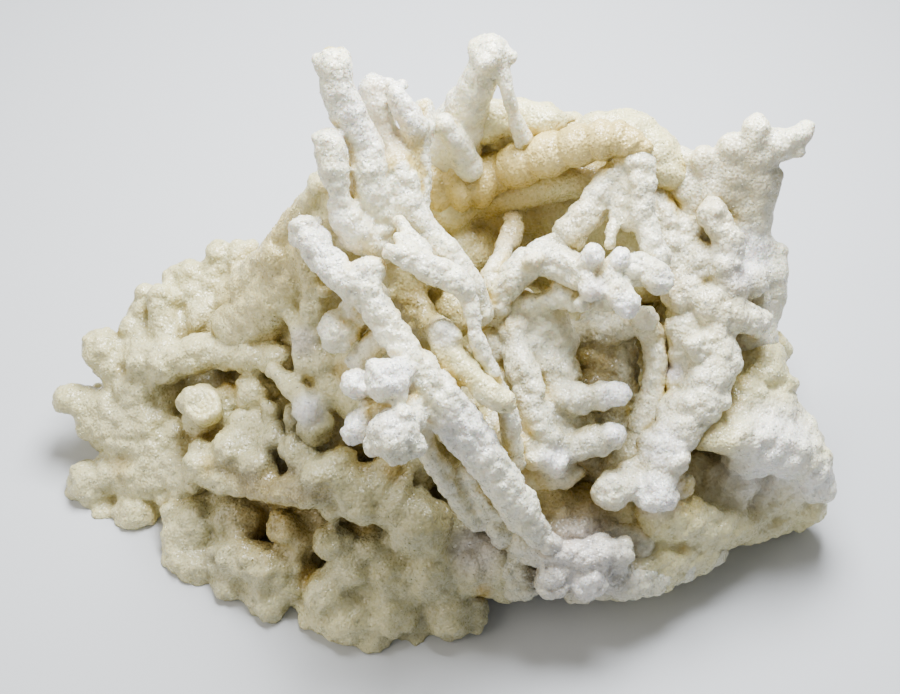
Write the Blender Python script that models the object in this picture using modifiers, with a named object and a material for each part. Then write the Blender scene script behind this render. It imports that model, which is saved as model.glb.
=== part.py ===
"""Aragonite cluster: white, coral-like branches on a lumpy base that is cut flat underneath.

Metres, +Z up, origin on the table under the middle of the specimen's box. The specimen grew as
one piece and is split at its main forks, with a hair's gap where one solid meets the next.

Places are read on a front view that looks down on the table: across, up and nearer, in
millimetres from the middle of the view, with a radius. world_point turns them into the model's
frame. Bulk that the front view hides is given in the model's own x, y and z.
"""

import math
import random

import bmesh
import bpy
from mathutils import Matrix, Vector
from mathutils.bvhtree import BVHTree

# Front view
MM = 0.001
VIEW_ANGLE = math.radians(55)
VIEW_DISTANCE = 250.0
VIEW_CENTRE_HEIGHT = 49.8
VIEW_RISE = Vector((0, math.sin(VIEW_ANGLE), math.cos(VIEW_ANGLE)))
VIEW_TOWARD = Vector((0, -math.cos(VIEW_ANGLE), math.sin(VIEW_ANGLE)))
# Middle of the specimen's box in the front view's own frame, moved onto the origin
MIDDLE = Vector((-2.56, 9.87, 0.0))

# Making of the solids, in millimetres
FUSE_SIZE = 0.8
SOFTEN_STEPS = 2
GAP = 0.55
BEAD = 1.06
RELAX_ROUNDS = 20
FACE_SHRINK = 0.01
SWELL_ROUNDS = 30
CREASE_SHARE = 0.7
LUMP_SPACING = 7.0
FLOOR_SIZE = 400.0
FLOOR_DEPTH = 60.0

# Warts and stub fingers of the back: radius and length ranges, and how far round they reach
WART = (2.6, 4.6)
STUB = (4.0, 7.0)
STUD_FACING = 0.1
STUD_DEPTH = 0.9
GOLDEN_TURN = math.pi * (3 - math.sqrt(5))

# Base: bulk ellipsoids as x, y, z and their three radii
BASE_BULK = (
    (-8, 6, 3, 40, 22, 17),
    (-12, 18, 10, 30, 20, 24),
    (14, 24, 10, 34, 19, 24),
    (38, 16, 6, 22, 22, 19),
    (-36, 8, 1, 18, 18, 15),
)
# Lumps of the front face, the lowest of them on the table
BASE_LUMPS = (
    # big rounded lobe in the middle of the front
    (-5.5, -29.5, -15, 5.8),
    (-9.5, -27, -14, 4),
    (-3.5, -33, -16, 3.4),
    # terraces below it
    (-19.5, -32, -18, 3.3),
    (-13, -33.5, -19, 3.2),
    (-16, -36.5, -20, 4),
    (-10, -37.5, -20, 4.5),
    (-3, -38, -19, 4.8),
    (4, -37, -19, 4.6),
    (9, -35, -18, 5),
    (8, -39, -20, 3.4),
    (13, -36.5, -18, 4),
    # lowest lobe, on the table
    (-20, -41, -22, 4.2),
    (-17, -44.5, -24, 5.2),
    (-9.5, -43, -23, 5.6),
    (-6, -47.8, -26, 3.4),
    (-13, -46.8, -25, 4.4),
    (0, -44, -23, 5),
    (3, -44.6, -23.5, 3.6),
    (-22.5, -44.6, -24.5, 2.8),
    # columns beside the crevice
    (-28, -30, -21, 3.2),
    (-25, -32, -23, 3),
    (-26, -35, -24, 2.8),
    # front left lobe
    (-30.5, -42, -27, 3.8),
    (-26.5, -40.5, -25.5, 2.8),
    (-36, -39.4, -29, 3.4),
    (-42, -36.6, -32, 3.6),
    (-44.5, -34.6, -32, 3),
    # backs of the recesses
    (-35, -29, -31, 5),
    (-42, -29, -34, 5),
    (-22, -29, -27, 6),
    (-14, -29, -25, 5.5),
    (-24, -39, -29, 5),
    (1, -30, -22, 6),
    (-30, -14, -28, 7),
    (-18, -12, -24, 8),
    (-5, -16, -22, 8),
    (8, -22, -20, 8),
    # tan shelf on the right of the spar
    (17, -27, -20, 5.5),
    (23, -27.6, -20, 5),
    (29, -28, -21, 5),
    (14, -21, -18, 5),
    (30, -12, -27, 7),
)
BASE_LIMBS = (
    # long ridge along the front, with a white end knob
    (
        (-42, -19.5, -25, 3.4),
        (-37, -21, -22, 3.4),
        (-31, -22.4, -18, 3.2),
        (-26, -23.4, -14, 3.4),
        (-22, -23.4, -11, 3.8),
    ),
    (
        (-22, -22, -12, 3.6),
        (-18, -22.4, -13, 3.8),
        (-14, -23.4, -14, 3.6),
        (-10, -25, -14, 4),
    ),
    # pale block and upright plate of the front left lobe
    ((-38, -35.4, -28, 3), (-33.5, -35.8, -25.5, 3.6), (-30, -36.6, -24, 3.6)),
    ((-46.4, -27, -32, 2.1), (-46, -31, -32, 2.2), (-45.6, -34.6, -32.5, 2.6)),
)

LEFT_LUMPS = (
    (-37, -16.8, -31, 2.6),
    (-50.8, 8.6, -37, 2.3),
    (-53, 3, -37, 2.2),
    (-60.6, -13, -39, 2.3),
    (-59.5, -22.5, -41, 4.2),
    (-62, -25, -43, 2.7),
    (-57, -28.4, -42, 3.8),
    (-52, -27.5, -39, 4),
    (-47, -24.4, -35, 2.2),
    (-50, -12, -37, 5),
    (-46, -15, -36, 4),
    (-32, -8, -26, 4),
    (-34, -13, -30, 3.6),
    (-34, 8, -33, 5),
    (-34, -26, -36, 5),
    (-44, -24, -38, 5),
)
LEFT_LIMBS = (
    # fingers and slab along the top edge
    ((-34.6, 15.4, -33, 2.4), (-34, 11, -34, 4), (-33, 4, -36, 6)),
    ((-38.6, 15.6, -34, 2.5), (-39.5, 10.6, -36, 3.2), (-40, 5, -37, 5)),
    ((-43.4, 12.2, -35, 2.4), (-42.6, 8.4, -36, 2.8), (-41.6, 4, -37, 4)),
    ((-46, 11.2, -36, 2.2), (-45.2, 7.4, -37, 2.8), (-44, 3, -38, 4)),
    ((-50.8, 8.6, -37, 2.2), (-51, 4, -38, 3), (-50, -1, -38, 5)),
    # tan finger in front of the slab
    ((-47.8, 8, -33, 2.4), (-47.8, 4, -33.5, 2.4), (-47.4, 0, -34, 2.6)),
    # fingers of the left edge
    ((-58.2, 0, -37, 3.3), (-55, -3, -38, 4), (-50, -7, -40, 7)),
    ((-63.6, -8.9, -39, 2.4), (-60.4, -9.8, -39, 2.6), (-56, -10.5, -39, 4), (-52, -12, -40, 6)),
    ((-60.4, -12.8, -39, 2.3), (-56, -14, -39, 4), (-48, -17, -39, 6)),
    # thick knobby ridge
    (
        (-51, -2.4, -33, 3.3),
        (-47, -2.4, -31, 3.8),
        (-42.4, -1.4, -29, 3.2),
        (-37.6, -0.6, -27, 3.1),
        (-32.6, -1.4, -24, 2.9),
        (-28.6, -2.2, -20, 2.6),
    ),
    # broken round finger with rings, and the finger beside it
    ((-41.4, -9.4, -26, 3.3), (-41, -11.6, -29, 3.3), (-39, -13, -33, 4)),
    ((-37.4, -8.6, -28, 2.4), (-36.4, -11.6, -29, 2.6), (-35.4, -16, -31, 3)),
    # slanting fingers of the foot
    ((-30, -10.6, -21, 1.8), (-29.4, -15, -22, 2), (-28.6, -19, -23, 2.3)),
    ((-26, -11, -18, 1.8), (-25.8, -15.4, -19, 2), (-22.8, -17, -18, 1.8)),
    ((-49, -18.4, -35, 2.6), (-45, -20, -33, 2.8), (-42, -22.4, -31, 2.2)),
    ((-56, -21, -41, 4), (-50, -21, -39, 5), (-44, -21, -37, 6)),
)
LEFT_BULK = (
    (-44, 18, 3, 19, 13, 14),
    (-60, 12, 1, 9, 10, 9),
    (-34, 28, 5, 15, 12, 18),
)

STEM_LUMPS = (
    (-10, 17, -8, 4.6),
    (-12, 10, -12, 6),
    (-4, 14, -10, 5),
    (-8, 3, -16, 7.5),
    (-15, 4, -16, 6),
    (0, 6, -14, 5),
    (-2, -4, -15, 6),
    (-10.5, 8.6, -2, 1.4),
    (-14, -8, -15, 5.5),
    (2, -11, -14, 6),
    (6, -12, -13, 4),
    # knobs on the left of the spar
    (-28.5, 15, -13, 3),
    (-26.4, 11.4, -12, 1.2),
    (-21, 9.4, -7, 1.3),
    (-21.6, -2, -15, 3.8),
    (-19, -7, -16, 4),
    (-15.6, -2.6, -13, 3.6),
    (-23.4, -10.4, -12, 2.5),
    (-22.4, -13.4, -14.5, 3.4),
    (-28, 6, -22, 4),
)
STEM_LIMBS = (
    # tan inner branches
    ((-11, 17, -3, 2.4), (-9, 13, -4, 2.3), (-7.4, 8, -5, 2.4), (-5.6, 3, -5, 2.3), (-3.4, -1, -5, 2.4)),
    ((-5.6, 10, -5, 1.6), (-4.6, 6.6, -4, 1.7), (-3.6, 3, -2, 2)),
    # small head with its tail, and the finger that springs from it
    ((-3.4, 4, -5, 2.2), (-2.2, 3, 0, 2.2), (-1, 2.4, 4, 2.3), (0, 1.6, 4.5, 1.8)),
    (
        (-1.8, 1, 3.6, 1.7),
        (-1, -3, 3.5, 1.4),
        (0.2, -6, 3, 1.4),
        (1.6, -9.4, 1.5, 1.4),
        (2.6, -13, -1, 1.6),
    ),
    (
        (0.2, 0.4, 3.6, 1.6),
        (1.4, -2.2, 4, 2),
        (3.6, -4.6, 4.5, 2.4),
        (6.4, -7.4, 4.5, 2.3),
        (9, -9, 4.5, 2.1),
    ),
    # buttress that runs down to the left cluster
    (
        (-21.5, 27, -3, 2.2),
        (-24, 23, -7, 2.4),
        (-27, 19, -12, 2.6),
        (-30, 14.5, -18, 3),
        (-33, 10, -24, 4),
    ),
    ((-19, 24, -4, 2.6), (-22, 19, -9, 3), (-25, 14, -16, 3.4), (-28, 8, -22, 4)),
    ((-17, 19, -8, 3.4), (-19, 12, -13, 4.4), (-21, 4, -19, 5)),
    # upright finger left of the spar
    ((-24, 17.5, -6, 2.1), (-23.2, 12.4, -9, 2), (-22.4, 7.4, -11, 2.1), (-22.6, 3, -13, 2.4)),
    # pale finger, its white joint and the thin one below
    (
        (-31.4, 10.6, -19, 1.8),
        (-28.4, 7.6, -17, 1.8),
        (-25.4, 4.4, -15, 1.9),
        (-24.4, 1, -14, 2.2),
        (-24, -2.4, -14, 2.3),
    ),
    ((-29, -3.8, -18, 1.7), (-26.6, -6.2, -15, 1.7), (-24.4, -8.6, -13, 1.9)),
)
STEM_BULK = (
    (-12, 24, 38, 12, 10, 16),
    (-20, 20, 26, 14, 13, 14),
)

PLUME_LIMBS = (
    # tallest finger
    (
        (-19.6, 48.8, 11, 3),
        (-18.6, 45, 10, 2.6),
        (-17.6, 41.5, 9, 2.9),
        (-16.3, 38, 7.5, 2.6),
        (-15, 34.8, 6, 2.9),
        (-13.8, 31, 5, 2.7),
        (-12.6, 27, 3, 2.9),
        (-10.5, 22.5, 1, 3.2),
    ),
    # second finger
    (
        (-13, 44.2, 9, 2.9),
        (-11.8, 41, 8, 2.6),
        (-10.8, 37.5, 6.5, 2.9),
        (-9.6, 33.5, 5, 2.7),
        (-8.4, 29.5, 3.5, 2.9),
        (-7, 26, 2, 3),
    ),
    # plate-like third finger
    (
        (-8.6, 42.4, 6, 1.9),
        (-6.9, 38.8, 5, 2.3),
        (-6, 34.5, 4, 2.6),
        (-5.7, 30.5, 3, 2.3),
        (-5.5, 27, 1.5, 2.4),
        (-5.4, 23.5, 0, 2.4),
    ),
    ((-4.5, 40.3, 0, 1.9), (-5.5, 36.5, 1, 1.8)),
    # short finger in front with a waist
    (
        (-20, 36, 9, 2.6),
        (-19.8, 31.5, 8, 2.7),
        (-19, 27.5, 6.5, 1.9),
        (-18, 24, 5, 2.6),
        (-16.5, 21, 3, 3.2),
        (-13.5, 19.5, 1, 3.1),
        (-11, 17.5, -1, 3),
    ),
    # lower run that slants to the right
    (
        (-7.5, 25.5, 1.5, 3),
        (-4.6, 21.5, 1, 2.6),
        (-1.5, 17.8, 0.5, 2.6),
        (0.8, 14.6, 0, 2.4),
        (3, 11, -1, 2.3),
        (5, 6, -4, 2.2),
    ),
)
PLUME_LUMPS = (
    (-16.8, 44, 9, 1.8),
    (-14.6, 31, 6, 2.2),
    (-9, 25, 0, 3.4),
    (-21, 35, 8.6, 1.6),
    (-8.6, 18.4, 3, 1.2),
)

SPAR_LIMBS = (
    (
        (-25.2, 20.8, 5, 2.4),
        (-22.4, 17.8, 6, 3.3),
        (-19.8, 14, 6.5, 3),
        (-16, 12.4, 7, 3.5),
        (-13.6, 8.4, 7.5, 2.9),
        (-11.2, 4.6, 7.5, 2.6),
        (-8.4, 0.8, 7.5, 2.6),
        (-5, -4, 7, 3.2),
        (-2, -8.4, 6, 3.9),
        (1.6, -13, 4, 3.9),
        (5, -17.4, 2, 3.6),
        (8.2, -21.6, 0, 3.2),
        (11, -26, -3, 3.4),
        (14.2, -30.6, -6, 2.4),
        (17.4, -33.4, -9, 1.8),
    ),
    # nodules and their short stalks
    ((-13, 8, 4, 2.8), (-16, 5.4, 3, 3.1), (-18.4, 2.8, 3, 3.4)),
    ((-10, 3, 4, 2.2), (-13, -0.4, 2, 2.3), (-15.4, -2.6, 0, 2)),
    ((-6, -3, 8, 2.4), (-10, -4.8, 10, 3.7)),
    ((-10, -6, 8, 2.2), (-13, -6.4, 7, 2.3), (-15.4, -6.4, 6, 2.4)),
    ((-5.5, -9.5, 7, 3), (-9, -13.6, 10.5, 4.2)),
    ((-9, -10.4, 7, 2.2), (-13, -11.4, 6, 2.1), (-16, -13.6, 5, 2.4)),
    # fingers on the underside
    (
        (-4.5, -12, 2, 2.4),
        (-3.8, -17, 0, 2),
        (-1, -21.4, -3, 1.9),
        (1.8, -25.6, -7, 1.9),
        (4.4, -28.6, -11, 2.2),
    ),
    ((3.4, -21, -4, 2.2), (6.2, -26, -8, 2.2), (9, -31, -12, 2.4)),
)
SPAR_LUMPS = (
    (-22.6, 22.2, 4, 1.5),
    (-26.6, 18.8, 5, 1.7),
    (-13, -14.6, 11, 2.4),
    (-9.4, -16.6, 11, 2.6),
    (-5.8, -16, 10.5, 2.4),
    (-8, -11, 12, 2.8),
    (-12, -3.6, 10.5, 2.2),
    (-8.6, -6.6, 11, 2.2),
    (6.4, -15.4, 3, 1.8),
    (-12.4, 14.6, 8, 1.8),
)

SLENDER_LIMBS = (
    (
        (-10.6, 15.6, 9.5, 0.9),
        (-8.6, 15.3, 9.5, 1.6),
        (-6.6, 14.8, 9, 2.1),
        (-4.4, 13.7, 8.5, 2.3),
        (-2, 12.5, 8, 2.5),
        (0.6, 11.3, 7.5, 2.6),
        (2.2, 9.6, 7, 2.1),
        (3.3, 6.8, 6.5, 1.4),
        (4.1, 4, 6, 1.35),
        (4.7, 1, 5.5, 1.45),
        (5.6, -1.6, 4.5, 1.4),
        (6.9, -4.4, 3, 1.5),
        (8.4, -7.6, 1, 1.6),
        (9.6, -11.2, -1, 1.7),
        (10.4, -15, -4, 1.8),
        (10.8, -19, -7, 2),
    ),
)

SPIRE_LIMBS = (
    (
        (6.6, 49, 1, 3.2),
        (5.7, 46, -1, 2.9),
        (4.3, 43, -3, 3.1),
        (2.9, 40.2, -6, 3.7),
        (1.5, 37, -9, 4.4),
        (0.5, 32, -14, 5),
    ),
    ((6.6, 49, 1, 2), (10, 48.5, 1, 1.3)),
    (
        (8.4, 46.4, 0.5, 1.4),
        (9.3, 43.6, 0, 1.15),
        (10, 41, -1.5, 1.2),
        (11, 38, -4, 1.4),
        (12.2, 34.8, -7, 1.7),
        (12.8, 31.5, -11, 2),
    ),
    ((-1.5, 37.4, -4, 2), (0.6, 34.8, -6, 2.2), (2.5, 31.8, -9, 2.3)),
)
SPIRE_LUMPS = ((4.6, 50, 0.6, 1.6), (8.6, 50.2, 0.6, 1.5), (5.6, 47.4, 3, 1.8))

WALL_LIMBS = (
    # white mound with its pointed end
    (
        (5.5, 37.5, -11, 4),
        (8.5, 38, -10, 3.3),
        (12, 38, -10, 3.4),
        (15.5, 37.6, -10, 3),
        (18, 37.6, -10, 1.7),
        (20, 38.2, -10, 0.9),
    ),
    # shelf under the arch
    ((10, 25.5, -19, 3), (15, 27, -16, 3), (20, 28, -14, 2.8), (25.5, 29.6, -12, 2.4)),
)
WALL_LUMPS = (
    (16.5, 34, -14, 4),
    (11, 33, -17, 6),
    (3, 31, -19, 6),
    (29, 34, -13, 6),
    (24.6, 36, -12, 3.6),
    (33.5, 32, -12, 4.8),
    (36.5, 29.6, -12, 4),
    (27, 27, -19, 7),
    (8, 24, -25, 7),
    (17, 24, -25, 7),
    (35, 22, -19, 6),
    (-1, 24, -18, 6),
    (33, 13, -23, 6),
    (2, 16, -22, 6),
    (10, 15, -29, 6),
    (20, 14, -30, 6),
)
WALL_BULK = (
    (4, 36, 32, 14, 9, 24),
    (18, 38, 36, 14, 8, 22),
    (32, 36, 32, 14, 9, 22),
)

ARCH_LIMBS = (
    (
        (2, 27, -22, 4.2),
        (4.4, 28, -19, 4),
        (6.8, 28.2, -16.5, 3.6),
        (9.2, 29, -14, 4.1),
        (12, 30, -11.5, 3.6),
        (15, 31.4, -9, 4.1),
        (17.5, 32.8, -7, 3.5),
        (20, 34, -5, 3.9),
        (22.4, 34.5, -3.5, 3.4),
        (24.8, 34.6, -2.5, 3.7),
        (27.6, 34, -1.5, 3.2),
        (29.6, 34.2, -1, 2.2),
        (31.4, 32.6, -1, 2.2),
    ),
)
ARCH_LUMPS = ((30.2, 35, -0.5, 1.4), (32.6, 33.2, -0.5, 1.4), (28.4, 36, -1, 1.5))

CURTAIN_LIMBS = (
    (
        (31.6, 30.5, -1.5, 1.9),
        (32.2, 27.6, -1.5, 1.6),
        (31.6, 25, -1.5, 1.5),
        (31.4, 22.4, -1.5, 1.8),
        (32.4, 20, -1.5, 1.6),
        (33.6, 17.4, -1, 1.9),
        (34.9, 15.2, -0.5, 1.7),
    ),
    (
        (28.6, 30.4, -4, 1.8),
        (26.8, 28.2, -5, 1.7),
        (24.8, 25, -5, 2),
        (22.4, 21.6, -5, 2.3),
        (20, 18.8, -4.5, 2.5),
    ),
    ((30.4, 28.6, -3, 1.7), (28.6, 25, -3.5, 1.5), (27.6, 21.4, -3, 1), (26.6, 17.4, -2, 1)),
    ((30.5, 27, -3, 1.6), (30, 23.5, -3, 1.3)),
)

HANGING_LIMBS = (
    (
        (7.5, 7.6, -8, 2.8),
        (10, 11, -6, 2.7),
        (13, 13.6, -5, 2.9),
        (17, 14.6, -4, 3.1),
        (20, 13.4, -3, 2.9),
        (23, 11.6, -2, 2.9),
        (27, 11.2, -1.5, 2.6),
    ),
    ((12, 14.6, -5, 1.6), (15.4, 16.6, -4, 1.4), (19, 18, -4, 1.8)),
    ((21.6, 13, -1, 2.2), (23, 14.2, 0.5, 1.8), (24, 15.2, 2, 1.8)),
    ((26.4, 12.4, -0.5, 1.7), (28.3, 14.7, 1.5, 1.7)),
    ((28, 11.8, -1.5, 2.4), (31.4, 12.8, 0, 2.7), (34.8, 11.4, 1, 2.6)),
    ((26.4, 11.4, 0, 2.2), (28, 9.2, 1.5, 2.4), (29.6, 7.2, 2.5, 2.2)),
    ((22.6, 11.4, 0, 2.1), (24, 9.4, 1.5, 2.1)),
)
HANGING_LUMPS = ((13.5, 14.4, -1.5, 1.7), (26.3, 8.2, 0, 1.7), (22, 7.4, -1.5, 1.5))

INNER_LUMPS = (
    (12, 5.6, -12, 4),
    (16, 4.4, -12, 4.2),
    (18, 1, -13, 3.6),
    (13.4, 0, -12, 3.8),
    (16.8, -3.4, -12.5, 4),
    (19, -4, -11.5, 3),
    (10.4, 2.8, -8.5, 2.3),
    (7.4, 5.2, -9, 1.7),
    (12.6, 5.4, -9, 1.7),
    (18, -11, -12, 4.2),
    (20, -14, -13, 4.5),
    (9.6, 8, -12, 3.2),
    (32.5, 4.6, -9, 2.3),
    (7, 0, -12, 3.4),
    (8, -6, -12, 3.4),
    (7.4, -13, -12, 3.6),
)
INNER_LIMBS = (
    # column behind, up to the underside of the arch
    ((11, 23, -17, 1.9), (10, 18.6, -13, 1.9), (8.4, 14.4, -9, 2), (7.2, 10.8, -7, 2.1), (8, 7.6, -9, 2.4)),
    # rough hanging fringe
    ((9.4, 8, -10, 2), (13, 7.4, -8, 1.9), (16.4, 7.8, -7, 1.8), (18.6, 8.4, -6.5, 2)),
    ((18.4, 9.4, -6, 2), (20.4, 8, -5, 2), (23, 7.8, -5, 1.9), (26.4, 7.8, -5, 1.8)),
    # thick finger that slants down
    (
        (11, 0.6, -9, 2.4),
        (12, -3.4, -7, 2.5),
        (13, -7.4, -6.5, 2.6),
        (14.4, -11.4, -7, 2.6),
        (15.8, -15, -8, 2.8),
    ),
    # two stubs with white tips
    (
        (15.4, -8.6, -12, 2.8),
        (19, -8.8, -9, 2.7),
        (22.4, -8.6, -7.5, 2.7),
        (25.4, -8.2, -6.5, 2.7),
        (28, -7.8, -5.5, 2.3),
    ),
    ((18, -17, -11, 3), (21.4, -16.4, -9, 2.7), (24.4, -15.6, -7.5, 2.8), (26.8, -14.6, -6.5, 2.5)),
    ((11.4, -16.2, -9, 2.7), (14.6, -18, -8, 2.7), (17.4, -19.2, -8.5, 2.4)),
    ((14, -21.4, -13, 2.6), (18.4, -21.8, -12, 2.3), (21.4, -21, -11, 1.4)),
    # long finger at the back and the smooth column beside it
    (
        (34, 1.4, -14, 2),
        (34.3, -2, -14, 2),
        (34, -5.4, -14, 2),
        (33, -8.8, -13.5, 2),
        (31.8, -12.2, -13, 2.1),
        (30.4, -16.4, -13, 2.3),
        (28, -19, -15, 3),
    ),
    ((28.6, 1.4, -18, 2.4), (29, -4, -18, 2.6), (28.8, -10, -18, 2.6), (27, -16, -18, 3.4)),
    ((35.6, -8, -15, 1.3), (34.8, -12.4, -14, 1.4), (33, -17, -14, 1.8)),
    # tan branch behind
    ((20, 2, -19, 2.3), (24, 2, -17, 2.2), (28, 3, -15, 2.2), (31.4, 4.2, -12, 2.2), (34, 1.6, -14, 2.2)),
    # link that carries the back pieces
    ((20, -14, -18, 4), (25, -18, -20, 4), (30, -18, -18, 4)),
)

RIDGE_LIMBS = (
    (
        (44, 22, -8, 2.7),
        (46.3, 18.2, -8, 2.6),
        (45.8, 14, -9, 3),
        (46.4, 10, -10, 3.2),
        (45.4, 5, -10, 3.2),
        (44, 1, -10, 3.3),
        (44.8, -2.4, -10, 3.6),
        (43, -6, -10, 3.9),
        (41, -9.8, -10, 4),
        (38.4, -13.6, -10.5, 3.7),
        (36, -17.2, -10.5, 4),
        (35, -21, -10.5, 3.4),
        (34.4, -24.2, -10, 3.6),
    ),
    ((33, -21, -12, 3.2), (29.6, -22.4, -10.5, 3), (27, -23.8, -9, 3.2)),
    ((35, -22.5, -12, 3), (39.2, -24, -11, 2.7), (43.4, -24.4, -12, 2.6)),
    # white slab between the dome and the ridge
    ((34, 26.4, -15, 3.4), (35.4, 22, -14, 3.8), (37, 17, -14, 3.7), (38.5, 12, -14, 3.6), (40, 6, -15, 4)),
    # ledge
    ((43.5, 7, -9, 3), (47.5, 5.4, -10, 3), (51, 4, -12, 2.6)),
)
RIDGE_LUMPS = (
    (41.4, 0.2, -8, 2.6),
    (45.8, -9, -8.5, 1.7),
    (50, 11, -12, 3.2),
    (40, -1, -14, 4),
    (40, 20, -14, 3.4),
    (38.6, -6, -15, 3.4),
    (33, -15.8, -11, 2.2),
    (37.6, -19, -8.5, 2.4),
)

WING_LIMBS = (
    ((38.6, 30.4, -12, 3), (39.8, 26, -13, 3.4), (41.5, 19, -17, 4), (43, 10, -21, 5)),
    ((42.4, 31.4, -9, 2.4), (43.6, 26, -12, 3.5), (45.5, 18, -17, 4.5), (46.5, 8, -21, 5)),
    (
        (46.6, 33.6, -7, 2.3),
        (47.4, 29, -10, 3.2),
        (48.6, 22, -14, 4),
        (49.5, 12, -18, 4.6),
        (49.5, 2, -21, 5),
    ),
    ((51, 36.6, -5, 2.2), (50.6, 32, -8, 3), (51, 26, -11, 3), (50.6, 20, -15, 3.2), (52, 13, -17, 3.4)),
    ((59.6, 36.6, -5, 1.5), (57.4, 34.6, -5.5, 2.2), (54.6, 33.6, -6.5, 2.8), (51, 31, -9, 3.2)),
    ((58, 32.6, -6, 1.3), (55, 32.6, -7, 2)),
    ((53.8, 29, -9.5, 1.7), (52.6, 25.5, -12, 2.2), (51, 21, -15, 2.8)),
    ((55, 15.6, -16, 1.9), (54, 11.4, -17, 2.4), (53.4, 7.2, -19, 2.4), (51, 3, -21, 3.2)),
)
WING_BULK = ((50, 24, 24, 12, 11, 22),)

LOWER_LUMPS = (
    (51, -3, -20, 5),
    (54.4, -5.6, -20, 3),
    (54.6, -11, -21, 4.4),
    (48, -9, -18, 5),
    (51, -24, -30, 5.4),
    (56, -22.5, -29, 4.6),
    (57, -26.4, -32, 4),
    (46, -22, -27, 6),
    (46, -28, -28, 4.6),
    (40, -31, -25, 5),
    (60.4, -26.6, -31, 2.8),
    (56.2, -6, -21, 1.9),
)
LOWER_LIMBS = (
    # bright rim over the hollow underside
    (
        (44, -14, -13, 3.4),
        (48, -15, -14.5, 3.6),
        (52, -16, -16.5, 3.6),
        (56, -17, -19, 3.6),
        (60, -19, -22, 3.6),
        (60.8, -23, -25, 2.8),
    ),
    (
        (35, -28, -17, 4.4),
        (40, -29, -20, 4.4),
        (46, -29.5, -25, 4),
        (52, -28.5, -30, 3.6),
        (58, -27.6, -33, 3),
    ),
    ((22, -38, -19, 4.6), (28, -37, -20, 5), (34, -35.5, -21, 5), (40, -33.5, -24, 4.6)),
)
LOWER_BULK = ((52, 10, 8, 15, 16, 15), (46, -2, 8, 14, 12, 12))

KNOB_LIMBS = (
    (
        (13, -32.6, -12, 3.4),
        (18, -34.4, -10, 2.6),
        (21.6, -34.6, -10, 2.7),
        (25, -34.4, -10.5, 2.9),
        (28.6, -34, -12, 2.4),
    ),
    ((18, -35.4, -11, 3), (17, -38.8, -11.5, 3)),
    ((23.4, -35.6, -12, 3), (23, -39.2, -11.5, 3)),
    ((22, -40.8, -12, 1.6), (22, -36, -14, 3)),
    ((11, -36, -16, 3.6), (12, -39, -17.5, 3.4)),
    (
        (26, -36, -15, 3.6),
        (28.6, -38.6, -17, 3.4),
        (33, -37.6, -19, 3.6),
        (38, -35.6, -22, 3.4),
        (43, -34, -25, 3),
    ),
    ((14, -30, -18, 4), (22, -31, -18, 4), (31, -32, -19, 4)),
)

CREAM = (0.80, 0.76, 0.64)
WHITE = (0.86, 0.85, 0.80)
TAN = (0.74, 0.65, 0.47)

# Name, colour, triangles before the cuts, roughness in millimetres, limbs, lumps, bulk and how many
# studs it has. Each solid makes room for the ones above it.
PARTS = (
    ("base_mass", CREAM, 1180, 1.0, BASE_LIMBS, BASE_LUMPS, BASE_BULK, 40),
    ("left_cluster", CREAM, 740, 0.8, LEFT_LIMBS, LEFT_LUMPS, LEFT_BULK, 30),
    ("lower_right", CREAM, 370, 1.0, LOWER_LIMBS, LOWER_LUMPS, LOWER_BULK, 24),
    ("back_wall", CREAM, 540, 1.0, WALL_LIMBS, WALL_LUMPS, WALL_BULK, 50),
    ("stem", CREAM, 520, 0.8, STEM_LIMBS, STEM_LUMPS, STEM_BULK, 36),
    ("right_wing", WHITE, 360, 0.8, WING_LIMBS, (), WING_BULK, 40),
    ("right_ridge", WHITE, 400, 0.5, RIDGE_LIMBS, RIDGE_LUMPS, (), 0),
    ("inner_fingers", WHITE, 540, 0.4, INNER_LIMBS, INNER_LUMPS, (), 0),
    ("front_knobs", WHITE, 210, 0.5, KNOB_LIMBS, (), (), 0),
    ("front_spar", WHITE, 480, 0.3, SPAR_LIMBS, SPAR_LUMPS, (), 0),
    ("plume", WHITE, 420, 0.3, PLUME_LIMBS, PLUME_LUMPS, (), 0),
    ("slender_branch", WHITE, 160, 0.2, SLENDER_LIMBS, (), (), 0),
    ("rear_spire", WHITE, 190, 0.3, SPIRE_LIMBS, SPIRE_LUMPS, (), 0),
    ("arch_branch", TAN, 170, 0.2, ARCH_LIMBS, ARCH_LUMPS, (), 0),
    ("hanging_fingers", WHITE, 280, 0.3, HANGING_LIMBS, HANGING_LUMPS, (), 0),
    ("curtain", WHITE, 200, 0.2, CURTAIN_LIMBS, (), (), 0),
)


def world_point(across, up, nearer):
    """A place on the front view in the model's frame, in millimetres."""
    spread = (VIEW_DISTANCE - nearer) / VIEW_DISTANCE
    point = Vector((across * spread, 0, VIEW_CENTRE_HEIGHT))
    return point + VIEW_RISE * (up * spread) + VIEW_TOWARD * nearer - MIDDLE


def seen_radius(radius, nearer):
    return radius * (VIEW_DISTANCE - nearer) / VIEW_DISTANCE


def seen(limbs, lumps=()):
    """Limbs and lumps of the front view as chains of places and radii in the model's frame."""
    chains = []
    for places in [*limbs, *([lump] for lump in lumps)]:
        chains.append([(world_point(a, u, n), seen_radius(r, n)) for a, u, n, r in places])
    return chains


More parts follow.
